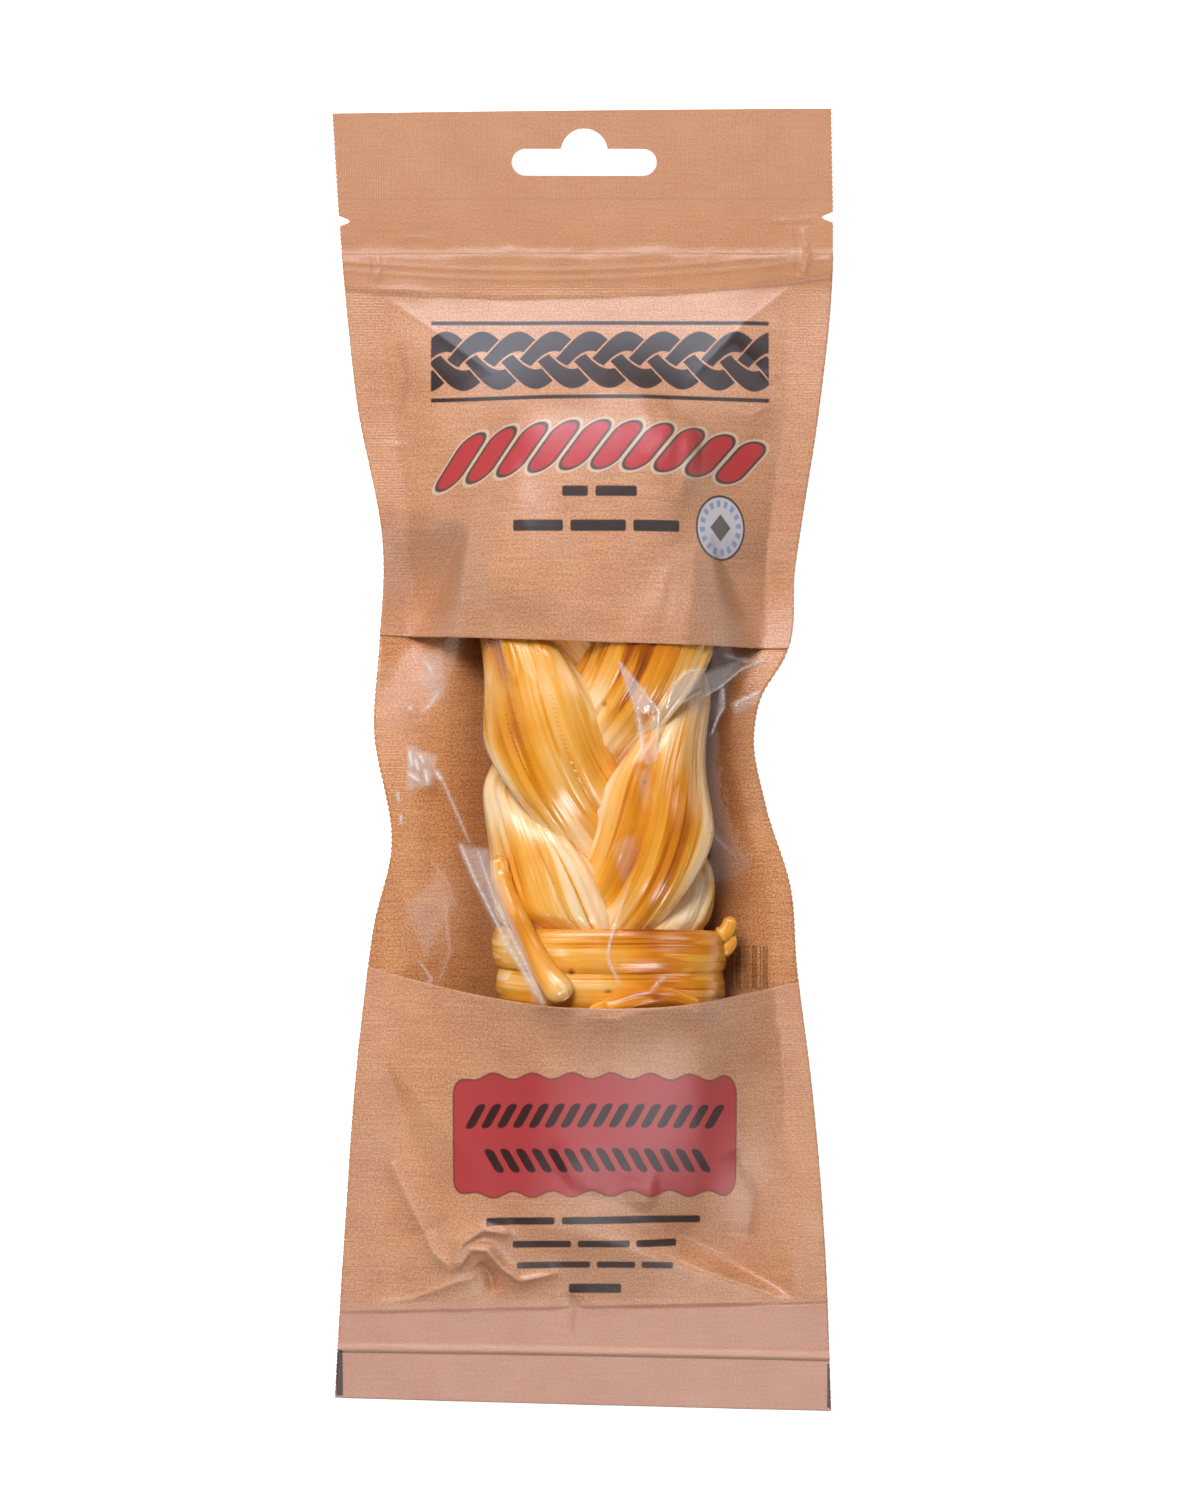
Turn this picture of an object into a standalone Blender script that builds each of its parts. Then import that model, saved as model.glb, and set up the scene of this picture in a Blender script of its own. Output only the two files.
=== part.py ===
"""A smoked cheese braid in its flat kraft pouch, lying face up.

The braid is three soft strands, plaited and tied near the lower end. The pouch is two webs welded round
the edge and drawn tight over the braid: a paper back, and a front that is paper above and below with a
band of clear film between. X runs across the pouch, Y up towards the hang slot and Z out of the front.
All sizes are millimetres until a mesh is made, which is in metres.
"""

import math

import bmesh
import bpy
import numpy as np
from mathutils import Vector
from mathutils.bvhtree import BVHTree

MM = 0.001

# Side edges of the pouch, drawn in where the braid is thickest: height up the pouch, place across it
LEFT_EDGE = (
    (-145, -55.3), (-108, -52.9), (-54, -48.4), (-36, -46.0), (-20, -42.2), (8, -46.2),
    (25, -45.3), (48, -44.2), (79, -49.8), (101, -52.2), (120, -53.9), (145, -55.6),
)
RIGHT_EDGE = (
    (-145, 55.5), (-108, 53.9), (-72, 50.9), (-45, 47.5), (-28, 46.2), (-10, 40.7), (6, 38.0),
    (14, 39.6), (23, 45.0), (43, 47.3), (79, 52.6), (101, 55.1), (145, 55.5),
)

# Lines across the pouch: height at the left edge, in the middle and at the right edge
BOTTOM_EDGE = (-142.0, -143.6, -145.0)
BOTTOM_RIB = (-130.6, -131.4, -132.6)
BOTTOM_WELD = (-122.8, -121.8, -120.4)
WINDOW_FOOT = (-46.6, -54.3, -49.7)
WINDOW_HEAD = (26.6, 27.4, 23.4)
ZIP_FOOT = (105.0, 102.4, 105.3)
ZIP_MIDDLE = (108.6, 107.6, 108.8)
ZIP_HEAD = (112.3, 112.5, 112.3)
HEADER_FOOT = (124.6, 124.6, 124.6)
TOP_EDGE = (143.9, 144.6, 145.0)

# Width of the side welds as seen from above: height up the pouch, width
LEFT_WELD = ((-145, 9.2), (-108, 8.8), (-54, 7.2), (-20, 6.8), (27, 6.5), (105, 8.2), (145, 8.4))
RIGHT_WELD = ((-145, 7.8), (-108, 7.6), (-54, 6.1), (6, 5.8), (27, 6.4), (105, 8.7), (145, 8.7))

# Webs
PAPER = 0.5
BACK = 0.45
FILM = 0.3
FILM_SINK = 0.05
WELD_HALF = 0.55
ZIP_RISE = 0.5
EDGE_GAP = 0.4

# The weld's height above the table: it is highest beside the braid and droops towards both ends
SEAM_HEIGHT = ((-145, 6.5), (-120, 9.5), (-90, 12.0), (-40, 13.5), (40, 13.5), (90, 13.0), (120, 11.0), (145, 8.5))
SEAM_WAVE = 0.9
SEAM_WAVE_LENGTH = 62.0
CURL_AT = 6.0
CURL_LENGTH = 20.0
CURL_RISE = 2.5

# Braid: three strands that sway from side to side once, and rise and fall twice, in each turn of the plait.
# Values that change along it are given as pairs: height up the pouch, value
STRANDS = 3
PLAIT_TURN = 125.0
PLAIT_START = 10.0
PLAIT_SWAY = 15.2
PLAIT_RISE = 8.0
STRAND_HALF_WIDTH = 13.2
STRAND_HALF_DEPTH = 8.5
BRAID_FOOT = -98.0
BRAID_HEAD = 82.0
BRAID_LIE = (
    (-98, 10.6), (-70, 13.8), (-56, 16.2), (-41, 17.0), (-20, 17.6), (52, 17.8), (70, 16.2), (82, 13.0),
)
BELLY = 1.2
BELLY_SOFTNESS = 1.2
BELLY_SLACK = 0.9
BRAID_AXIS = ((-98, 5.0), (-45, 6.2), (-20, 4.3), (13, 3.1), (82, 2.5))
SWAY_SHARE = ((-98, 0.42), (-70, 0.64), (-45, 0.80), (-26, 1.0), (0, 1.0), (52, 1.0), (70, 0.8), (82, 0.45))
FULLNESS = ((-98, 0.62), (-70, 0.80), (-45, 0.86), (-26, 1.0), (0, 1.0), (52, 1.0), (70, 0.9), (82, 0.7))
CAP_LENGTH = 9.0
BUNDLES = 7
BUNDLE_VALLEY = 0.12
BUNDLE_DRIFT = 0.9
RINGS = 30
CORE_HALF_WIDTH = 13.0
CORE_HALF_DEPTH = 8.5
CORE_SHORTER = 8.0
SIDES = 3 * BUNDLES

# Tie: two turns of one flat strand, its loose end laid up over them, a tail across and a small stub at the side
TIE_TURNS = ((-41.6, 23.4, 13.6), (-49.4, 22.8, 13.0))
TIE_HALF_HEIGHT = 4.3
TIE_HALF_DEPTH = 2.0
TIE_TILT = -0.9
LOOSE_END = ((-18.1, -20.9), (-16.3, -26.9), (-13.3, -34.1), (-10.0, -40.5), (-6.8, -45.9), (-2.6, -51.6))
LOOSE_END_RADIUS = (1.9, 2.0, 2.05, 2.2, 2.8, 3.7)
CROSS_TAIL = ((1.5, -54.8), (7.0, -53.2), (13.0, -51.4), (19.0, -50.8), (24.5, -51.6))
CROSS_TAIL_RADIUS = (1.6, 2.1, 2.5, 2.6, 2.4)
SIDE_STUB = ((32.8, -33.6), (33.3, -36.6), (32.7, -39.8), (30.8, -42.6))
SIDE_STUB_HEIGHT = 18.5
SIDE_STUB_RADIUS = (1.5, 1.7, 1.9, 2.0)
SINK = 1.0

# Smooth pillow that the stiff paper makes over the braid: its ends, and its half width and depth on the way
SLEEVES = ((-112.0, -58.0), (31.0, 88.0))
SLEEVE_HALF_WIDTH = ((-112, 27.0), (-58, 26.0), (31, 25.0), (88, 22.0))
SLEEVE_HALF_DEPTH = ((-112, 8.0), (-85, 12.6), (-58, 16.0), (31, 17.2), (70, 16.5), (88, 14.0))
SLEEVE_SQUARENESS = 2.6
SLEEVE_END = 16.0

GAP = 0.35
GROWN = 1.25

# Hang slot and tear notches
SLOT_CENTRE = (0.5, 132.9)
SLOT_WIDTH = 32.2
SLOT_HEIGHT = 6.1
HUMP_RADIUS = 5.2
HUMP_LIFT = 2.4
NOTCHES = (("left", -53.9, 119.6, 1), ("right", 55.6, 120.5, -1))
NOTCH_DEPTH = 2.4
NOTCH_HEIGHT = 2.0

# Raster on which the webs are drawn tight
CELL = 2.0
FRONT_PULL = 0.02
BACK_PULL = 0.010
SWEEPS = 1500
COLUMNS = 20


def through(points, at):
    """Smooth curve through the points: cubic pieces whose slope at a point follows its neighbours."""
    known, value = np.array(points, float).T
    slope = np.gradient(value, known)
    i = np.clip(np.searchsorted(known, at) - 1, 0, len(known) - 2)
    span = known[i + 1] - known[i]
    t = np.clip((at - known[i]) / span, 0, 1)
    near = (2 * t**3 - 3 * t**2 + 1) * value[i] + (t**3 - 2 * t**2 + t) * span * slope[i]
    far = (3 * t**2 - 2 * t**3) * value[i + 1] + (t**3 - t**2) * span * slope[i + 1]
    return near + far


def unit(vectors):
    """The vectors with length 1."""
    return vectors / np.linalg.norm(vectors, axis=-1, keepdims=True)


def seam_height(x, y):
    """Height of the weld's middle above the table: a slow wave along each side, and a curl at the narrow place."""
    side = np.clip(np.abs(x) / 40.0, 0, 1) ** 2 * np.sign(x)
    ends = np.clip((112 - np.abs(y)) / 30.0, 0, 1)
    wave = SEAM_WAVE * side * ends * np.sin(2 * math.pi * y / SEAM_WAVE_LENGTH)
    curl = CURL_RISE * np.exp(-(((y - CURL_AT) / CURL_LENGTH) ** 2)) * np.clip(x / 40.0, 0, 1) ** 2
    return through(SEAM_HEIGHT, y) + wave + curl


# Meshes


def add_object(name, vertices, faces):
    """A new object from points in millimetres, with its faces turned outwards."""
    mesh = bpy.data.meshes.new(name)
    mesh.from_pydata([tuple(p) for p in np.asarray(vertices) * MM], [], faces)
    shape = bmesh.new()
    shape.from_mesh(mesh)
    bmesh.ops.remove_doubles(shape, verts=shape.verts, dist=1e-7)
    bmesh.ops.recalc_face_normals(shape, faces=shape.faces)
    shape.to_mesh(mesh)
    shape.free()
    obj = bpy.data.objects.new(name, mesh)
    bpy.context.scene.collection.objects.link(obj)
    return obj


def skin(name, rings, closed=False):
    """A tube through rings of points, joined end to end if closed, or with a fan of faces over each end."""
    count, sides = rings.shape[:2]
    vertices = list(rings.reshape(-1, 3))
    faces = []
    for r in range(count if closed else count - 1):
        for s in range(sides):
            here, there = r * sides, (r + 1) % count * sides
            after = (s + 1) % sides
            faces.append((here + s, here + after, there + after, there + s))
    if not closed:
        for ring, flip in ((0, 1), (count - 1, -1)):
            tip = len(vertices)
            vertices.append(rings[ring].mean(axis=0))
            for s in range(sides):
                faces.append((ring * sides + s, tip, ring * sides + (s + 1) % sides)[::flip])
    return add_object(name, vertices, faces)


def round_tube(name, path, radii, sides=10, grow=0.0):
    """A round string along a path, with its ends closed as small domes."""
    path = np.array(path, float)
    radii = np.array(radii, float) + grow
    along = unit(np.gradient(path, axis=0))
    dome = np.array((0.35, 0.8))
    path = np.concatenate((
        path[:1] - along[:1] * radii[0] * np.array([[0.85], [0.45]]), path,
        path[-1:] + along[-1:] * radii[-1] * np.array([[0.45], [0.85]]),
    ))
    radii = np.concatenate((radii[0] * dome, radii, radii[-1] * dome[::-1]))
    along = np.concatenate((along[[0, 0]], along, along[[-1, -1]]))
    across = unit(np.cross(along, (0.0, 0.0, 1.0)))
    up = np.cross(across, along)
    turn = 2 * math.pi * np.arange(sides) / sides
    rings = (
        path[:, None]
        + radii[:, None, None] * across[:, None] * np.cos(turn)[None, :, None]
        + radii[:, None, None] * up[:, None] * np.sin(turn)[None, :, None]
    )
    return skin(name, rings)


def fuse(name, pieces):
    """One body from overlapping pieces, by a Boolean union on their collection."""
    group = bpy.data.collections.new(name + "_pieces")
    bpy.context.scene.collection.children.link(group)
    for piece in pieces[1:]:
        group.objects.link(piece)
    body = pieces[0]
    union = body.modifiers.new("union", "BOOLEAN")
    union.operation = "UNION"
    union.operand_type = "COLLECTION"
    union.collection = group
    apply_modifiers(body)
    for piece in pieces[1:]:
        bpy.data.objects.remove(piece)
    bpy.data.collections.remove(group)
    body.name = body.data.name = name
    return body


def carve(body, cutters):
    """Cuts each cutter out of the body."""
    for cutter in cutters:
        cut = body.modifiers.new("cut", "BOOLEAN")
        cut.operation = "DIFFERENCE"
        cut.object = cutter
    apply_modifiers(body)
    for cutter in cutters:
        bpy.data.objects.remove(cutter)


def keep_largest(body):
    """Removes every island of faces but the largest, so that no sealed hollow or crumb is left."""
    shape = bmesh.new()
    shape.from_mesh(body.data)
    waiting, islands = set(shape.faces), []
    while waiting:
        front = {waiting.pop()}
        island = set(front)
        while front:
            edges = {edge for face in front for edge in face.edges if edge.is_manifold}
            front = {face for edge in edges for face in edge.link_faces} & waiting
            waiting -= front
            island |= front
        islands.append(island)
    islands.sort(key=len)
    bmesh.ops.delete(shape, geom=[face for island in islands[:-1] for face in island], context="FACES")
    shape.to_mesh(body.data)
    shape.free()


def apply_modifiers(obj):
    """Makes the object's modifiers part of its mesh."""
    graph = bpy.context.evaluated_depsgraph_get()
    mesh = bpy.data.meshes.new_from_object(obj.evaluated_get(graph))
    obj.modifiers.clear()
    obj.data = mesh


def finish(obj, colour, roughness, alpha=1.0, crease=35):
    """Gives the object its material, and shades it smooth but for its sharp edges."""
    material = bpy.data.materials.new(obj.name)
    material.use_nodes = True
    shader = material.node_tree.nodes["Principled BSDF"]
    shader.inputs["Base Color"].default_value = (*colour, 1.0)
    shader.inputs["Roughness"].default_value = roughness
    shader.inputs["Metallic"].default_value = 0.0
    shader.inputs["Alpha"].default_value = alpha
    obj.data.materials.clear()
    obj.data.materials.append(material)
    obj.data.shade_smooth()
    obj.data.set_sharp_from_angle(angle=math.radians(crease))


# Braid


def strand_rings(index, rings=RINGS, grow=0.0):
    """One strand's rings of points.

    Its middle sways as a sine and rises as a sine of twice the angle, which plaits three such strands. Its
    section is an oval, thin side out, whose rim is scalloped by bundles of strings that drift round it.
    """
    share = np.linspace(0, 1, rings)
    y = BRAID_FOOT + (BRAID_HEAD - BRAID_FOOT) * share
    angle = 2 * math.pi * ((y - PLAIT_START) / PLAIT_TURN + index / STRANDS)
    sway = through(SWAY_SHARE, y)
    middle = np.stack((
        through(BRAID_AXIS, y) + PLAIT_SWAY * sway * np.sin(angle),
        y,
        through(BRAID_LIE, y) + PLAIT_RISE * sway * np.sin(2 * angle),
    ), axis=1)
    along = unit(np.gradient(middle, axis=0))
    roll = math.radians(90) - math.radians(135) * np.cos(angle)
    thin = np.stack((np.sin(roll), np.zeros(rings), np.cos(roll)), axis=1)
    thin = unit(thin - along * (thin * along).sum(axis=1, keepdims=True))
    wide = np.cross(along, thin)

    to_end = np.minimum(y - BRAID_FOOT, BRAID_HEAD - y)
    cap = np.sqrt(np.clip(1 - (1 - to_end / CAP_LENGTH).clip(0, 0.93) ** 2, 0, 1))
    size = through(FULLNESS, y) * cap
    place = np.arange(SIDES) / SIDES
    in_bundle = place * BUNDLES % 1.0
    scallop = 1 - BUNDLE_VALLEY * (1 - (4 * in_bundle * (1 - in_bundle)) ** 0.45)
    turn = 2 * math.pi * place[None, :] + BUNDLE_DRIFT * np.sin(angle + 0.7 * index)[:, None]
    half_width = STRAND_HALF_WIDTH * size[:, None] * scallop + grow
    half_depth = STRAND_HALF_DEPTH * size[:, None] * scallop + grow
    points = (
        middle[:, None]
        + wide[:, None] * (half_width * np.cos(turn))[..., None]
        + thin[:, None] * (half_depth * np.sin(turn))[..., None]
    )
    above = points[..., 2] - (BELLY - grow)
    points[..., 2] = (BELLY - grow) + 0.5 * (above + np.sqrt(above**2 + BELLY_SOFTNESS**2))
    return points


def strands(grow=0.0):
    """The three plaited strands as separate closed tubes."""
    return [skin(f"strand_{i}", strand_rings(i, grow=grow)) for i in range(STRANDS)]


def core(rings=15, sides=10):
    """A plain oval up the braid's middle, which fills the hollows between the strands."""
    y = np.linspace(BRAID_FOOT + CORE_SHORTER, BRAID_HEAD - CORE_SHORTER, rings)
    turn = 2 * math.pi * np.arange(sides) / sides
    sway, full = through(SWAY_SHARE, y)[:, None], through(FULLNESS, y)[:, None]
    return skin("core", np.stack((
        through(BRAID_AXIS, y)[:, None] + CORE_HALF_WIDTH * sway * np.cos(turn),
        y[:, None] + 0 * turn,
        through(BRAID_LIE, y)[:, None] + CORE_HALF_DEPTH * full * np.sin(turn),
    ), axis=2))


def sleeve(low, high, rings=13, sides=24):
    """A smooth pillow round the braid between two heights, its far end drawn in."""
    y = np.linspace(low, high, rings)
    far = low if low < BRAID_FOOT else high
    reach = (np.abs(y - far) / SLEEVE_END).clip(0.02, 1)
    dome = np.sqrt(1 - (1 - reach) ** 2)[:, None]
    turn = 2 * math.pi * np.arange(sides) / sides
    cos, sin = (np.sign(f) * np.abs(f) ** (2 / SLEEVE_SQUARENESS) for f in (np.cos(turn), np.sin(turn)))
    return skin("sleeve", np.stack((
        through(BRAID_AXIS, y)[:, None] + through(SLEEVE_HALF_WIDTH, y)[:, None] * dome * cos,
        y[:, None] + 0 * turn,
        through(BRAID_LIE, y)[:, None] + through(SLEEVE_HALF_DEPTH, y)[:, None] * dome * sin,
    ), axis=2))


def tie_turn(name, turn, grow=0.0, outward=0.0, steps=26, sides=8):
    """One turn of the tie round the braid: a flat oval carried round a larger oval."""
    height, half_x, half_z = turn
    around = 2 * math.pi * np.arange(steps) / steps
    centre_x = float(through(BRAID_AXIS, height))
    path = np.stack((
        centre_x + half_x * np.cos(around),
        height + TIE_TILT * np.cos(around) + 0.5 * np.sin(2 * around),
        float(through(BRAID_LIE, height)) + half_z * np.sin(around),
    ), axis=1)
    out = unit(np.stack((np.cos(around) / half_x, np.zeros(steps), np.sin(around) / half_z), axis=1))
    section = 2 * math.pi * np.arange(sides) / sides
    depth = TIE_HALF_DEPTH + grow
    radial = depth * np.sin(section)
    radial = np.where(radial > 0.1, radial + outward, radial)
    lift = (TIE_HALF_HEIGHT + grow) * np.cos(section)
    rings = path[:, None] + out[:, None] * radial[None, :, None] + np.array((0, 1.0, 0)) * lift[None, :, None]
    return skin(name, rings, closed=True)


def top_tree(objects):
    """A search tree over the objects' faces, for finding their height."""
    shape = bmesh.new()
    for obj in objects:
        shape.from_mesh(obj.data)
    tree = BVHTree.FromBMesh(shape)
    shape.free()
    return tree


def height_at(tree, x, y, from_below=False):
    """Height in millimetres where a plumb line meets the faces, or None beside them."""
    start, way = (-0.1, 1.0) if from_below else (0.2, -1.0)
    hit = tree.ray_cast(Vector((x * MM, y * MM, start)), Vector((0, 0, way)))[0]
    return None if hit is None else hit.z / MM


def laid_path(tree, places, radii):
    """A string's path over what lies under it, sunk a little into the soft surface."""
    heights = [height_at(tree, x, y) + r - SINK for (x, y), r in zip(places, radii)]
    smooth = np.convolve(np.pad(heights, 1, mode="edge"), (0.25, 0.5, 0.25), mode="valid")
    resting = np.maximum(heights, smooth)
    return [(x, y, z) for (x, y), z in zip(places, resting)]


def make_cheese():
    """The braid, with a groove where the tie bites, and the tie as one body."""
    tree = top_tree(pieces := strands() + [tie_turn("turn", t) for t in TIE_TURNS])
    loose = laid_path(tree, LOOSE_END, LOOSE_END_RADIUS)
    cross = laid_path(tree, CROSS_TAIL, CROSS_TAIL_RADIUS)
    stub = [(x, y, SIDE_STUB_HEIGHT) for x, y in SIDE_STUB]
    for turn in pieces[STRANDS:]:
        bpy.data.objects.remove(turn)
    braid = fuse("cheese_braid", pieces[:STRANDS] + [core()])

    def strings(grow):
        return [
            round_tube("loose_end", loose, LOOSE_END_RADIUS, grow=grow),
            round_tube("cross_tail", cross, CROSS_TAIL_RADIUS, grow=grow),
            round_tube("side_stub", stub, SIDE_STUB_RADIUS, sides=8, grow=grow),
        ]

    carve(braid, [tie_turn("groove", t, grow=GAP, outward=7.0) for t in TIE_TURNS] + strings(GAP))
    keep_largest(braid)
    tie = fuse("cheese_tie", [tie_turn("turn", t) for t in TIE_TURNS] + strings(0.0))
    keep_largest(tie)
    grown = strands(GROWN) + [tie_turn("turn", t, grow=GROWN) for t in TIE_TURNS] + strings(GROWN)
    return braid, tie, grown + [sleeve(low, high) for low, high in SLEEVES]


# Webs


def edges_at(y):
    """Places across of the pouch's left and right edges, and of the inner sides of the welds there."""
    left, right = through(LEFT_EDGE, y), through(RIGHT_EDGE, y)
    return left, right, left + through(LEFT_WELD, y), right - through(RIGHT_WELD, y)


def line_height(line, share):
    """Height of a line across the pouch, as a parabola through its three heights."""
    left, middle, right = line
    return left * (1 - share) * (1 - 2 * share) + middle * 4 * share * (1 - share) + right * share * (2 * share - 1)


def taut(start, fixed, sweeps, pull, hold):
    """A web drawn tight: each free node moves to its neighbours' mean, less the pull, and is then held."""
    z = start.copy()
    for _ in range(sweeps):
        mean = 0.25 * (z[:-2, 1:-1] + z[2:, 1:-1] + z[1:-1, :-2] + z[1:-1, 2:]) - pull
        inner = np.where(fixed[1:-1, 1:-1], start[1:-1, 1:-1], mean)
        z[1:-1, 1:-1] = inner
        z = np.where(fixed, start, hold(z))
    return z


def web_heights(grown):
    """Rasters of the front and back webs' outer faces, drawn tight over the grown braid."""
    xs = np.arange(-60, 60 + CELL, CELL)
    ys = np.arange(-150, 150 + CELL, CELL)
    across, up = np.meshgrid(xs, ys, indexing="ij")
    left, right, weld_left, weld_right = edges_at(up.clip(-145, 145))
    share = ((across - left) / (right - left)).clip(0, 1)
    fixed = (
        (across < weld_left) | (across > weld_right)
        | (up > line_height(ZIP_FOOT, share)) | (up < line_height(BOTTOM_WELD, share))
    )
    seam = seam_height(across, up.clip(-145, 145))
    tree = top_tree(grown)
    top = np.full(across.shape, -1e3)
    bottom = np.full(across.shape, 1e3)
    beside = CELL / 2 * np.array((-1, 0, 1))
    for i, j in zip(*np.nonzero(~fixed)):
        for px in xs[i] + beside:
            for py in ys[j] + beside:
                high = height_at(tree, px, py)
                if high is not None:
                    top[i, j] = max(top[i, j], high)
                    bottom[i, j] = min(bottom[i, j], height_at(tree, px, py, from_below=True))
    back = taut(
        seam - WELD_HALF, fixed, SWEEPS, -BACK_PULL,
        lambda z: np.minimum(z, bottom - BELLY_SLACK).clip(0, None),
    )
    slope = np.gradient(back, CELL)
    least = 2 * WELD_HALF * np.sqrt(1 + slope[0] ** 2 + slope[1] ** 2)
    front = taut(
        np.maximum(seam + WELD_HALF, np.where(fixed, -1e3, top)), fixed, SWEEPS, FRONT_PULL,
        lambda z: np.maximum(np.maximum(z, top), back + least),
    )
    return xs, ys, front, back


def sample(xs, ys, raster, x, y):
    """The raster's value between its nodes, blended from the four around."""
    fx = ((x - xs[0]) / CELL).clip(0, len(xs) - 1.001)
    fy = ((y - ys[0]) / CELL).clip(0, len(ys) - 1.001)
    i, j = fx.astype(int), fy.astype(int)
    u, v = fx - i, fy - j
    low = raster[i, j] * (1 - u) + raster[i + 1, j] * u
    high = raster[i, j + 1] * (1 - u) + raster[i + 1, j + 1] * u
    return low * (1 - v) + high * v


def clear_of(xs, ys, raster, x, y, z, side):
    """The grid's heights, moved away on one side wherever a flat cell would cut into the smooth web."""
    lift = np.zeros((z.shape[0] + 1, z.shape[1] + 1))
    for u in (0.25, 0.5, 0.75):
        for v in (0.25, 0.5, 0.75):
            px, py, pz = (
                (q[:-1, :-1] * (1 - u) + q[1:, :-1] * u) * (1 - v) + (q[:-1, 1:] * (1 - u) + q[1:, 1:] * u) * v
                for q in (x, y, z)
            )
            missing = side * (sample(xs, ys, raster, px, py) - pz)
            lift[1:-1, 1:-1] = np.maximum(lift[1:-1, 1:-1], missing)
    most = np.maximum(np.maximum(lift[:-1, :-1], lift[1:, :-1]), np.maximum(lift[:-1, 1:], lift[1:, 1:]))
    return z + side * np.where(most > 0.1, most, 0)


def lattice():
    """Places of the webs' grid, rows up the pouch and columns across, and the number of each named line's row."""
    share = np.linspace(0, 1, COLUMNS + 1)
    bands = (
        (BOTTOM_EDGE, BOTTOM_RIB, 1), (BOTTOM_RIB, BOTTOM_WELD, 1), (BOTTOM_WELD, WINDOW_FOOT, 10),
        (WINDOW_FOOT, WINDOW_HEAD, 15), (WINDOW_HEAD, ZIP_FOOT, 11), (ZIP_FOOT, ZIP_MIDDLE, 1),
        (ZIP_MIDDLE, ZIP_HEAD, 1), (ZIP_HEAD, HEADER_FOOT, 1), (HEADER_FOOT, TOP_EDGE, 1),
    )
    rows, marks = [line_height(BOTTOM_EDGE, share)], {BOTTOM_EDGE: 0}
    for low, high, count in bands:
        for step in range(1, count + 1):
            part = step / count
            rows.append(line_height(low, share) * (1 - part) + line_height(high, share) * part)
        marks[high] = len(rows) - 1
    y = np.array(rows)
    left, right, weld_left, weld_right = edges_at(y)
    inside = (share * COLUMNS - 1) / (COLUMNS - 2)
    x = weld_left + (weld_right - weld_left) * inside
    x[:, 0], x[:, -1] = left[:, 0], right[:, -1]
    return x, y, marks


def outward(x, y, z, up):
    """Unit normals of a sheet over the grid, on its upper or lower side."""
    place = np.stack((x, y, z), axis=-1)
    down_rows, along_columns = np.gradient(place, axis=(0, 1))
    return unit(np.cross(along_columns, down_rows)) * (1 if up else -1)


def cell_shell(name, layers, solid):
    """A closed body made of the solid cells between layers of one grid: a face wherever solid meets empty."""
    depth, rows, columns = solid.shape
    held = np.pad(solid, 1)
    points = np.array(layers)
    number = np.arange(points[..., 0].size).reshape(points.shape[:3])
    corners = {
        (-1, 0, 0): ((0, 0, 0), (0, 0, 1), (0, 1, 1), (0, 1, 0)),
        (1, 0, 0): ((1, 0, 0), (1, 1, 0), (1, 1, 1), (1, 0, 1)),
        (0, -1, 0): ((0, 0, 0), (1, 0, 0), (1, 0, 1), (0, 0, 1)),
        (0, 1, 0): ((0, 1, 0), (0, 1, 1), (1, 1, 1), (1, 1, 0)),
        (0, 0, -1): ((0, 0, 0), (0, 1, 0), (1, 1, 0), (1, 0, 0)),
        (0, 0, 1): ((0, 0, 1), (1, 0, 1), (1, 1, 1), (0, 1, 1)),
    }
    faces = []
    for cell in zip(*np.nonzero(solid)):
        for way, quad in corners.items():
            beside = tuple(c + w + 1 for c, w in zip(cell, way))
            if not held[beside]:
                faces.append([int(number[tuple(c + q for c, q in zip(cell, corner))]) for corner in quad])
    used = sorted({v for face in faces for v in face})
    renumber = {old: new for new, old in enumerate(used)}
    vertices = points.reshape(-1, 3)[used]
    return add_object(name, vertices, [[renumber[v] for v in face] for face in faces])


def make_webs(grown):
    """The paper pouch with its window open, and the film that closes the window."""
    xs, ys, front_raster, back_raster = web_heights(grown)
    x, y, marks = lattice()
    front = sample(xs, ys, front_raster, x, y)
    back = sample(xs, ys, back_raster, x, y)
    inside = (slice(marks[BOTTOM_WELD], marks[ZIP_FOOT] + 1), slice(1, -1))
    front[inside] = clear_of(xs, ys, front_raster, x[inside], y[inside], front[inside], 1)
    back[inside] = clear_of(xs, ys, back_raster, x[inside], y[inside], back[inside], -1).clip(0, None)
    ridge = marks[ZIP_MIDDLE]
    front[ridge, 1:-1] += ZIP_RISE
    back[ridge, 1:-1] -= ZIP_RISE

    front_out = outward(x, y, front, True)
    back_out = outward(x, y, back, False)
    front_face = np.stack((x, y, front), axis=-1)
    back_face = np.stack((x, y, back), axis=-1)
    layers = [back_face, back_face - back_out * BACK, front_face - front_out * PAPER, front_face]

    rows, columns = x.shape[0] - 1, x.shape[1] - 1
    window = np.zeros((rows, columns), bool)
    window[marks[WINDOW_FOOT]:marks[WINDOW_HEAD]] = True
    room = front - back - PAPER - BACK > 1.2
    roomy = room[:-1, :-1] & room[1:, :-1] & room[:-1, 1:] & room[1:, 1:]
    roomy[:, [0, -1]] = False
    roomy[:marks[BOTTOM_WELD]] = False
    roomy[marks[ZIP_FOOT]:] = False
    solid = np.array([np.ones_like(window), ~(roomy | window), ~window])
    pouch = cell_shell("pouch", layers, solid)

    band = slice(marks[WINDOW_FOOT], marks[WINDOW_HEAD] + 1)
    outer = (front_face - front_out * FILM_SINK)[band].copy()
    inner = (front_face - front_out * (FILM_SINK + FILM))[band].copy()
    for sheet in (outer, inner):
        sheet[0, :, 1] += EDGE_GAP
        sheet[-1, :, 1] -= EDGE_GAP
    film = cell_shell("window_film", [inner, outer], np.ones((1, len(outer) - 1, columns), bool))
    return pouch, film


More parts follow.
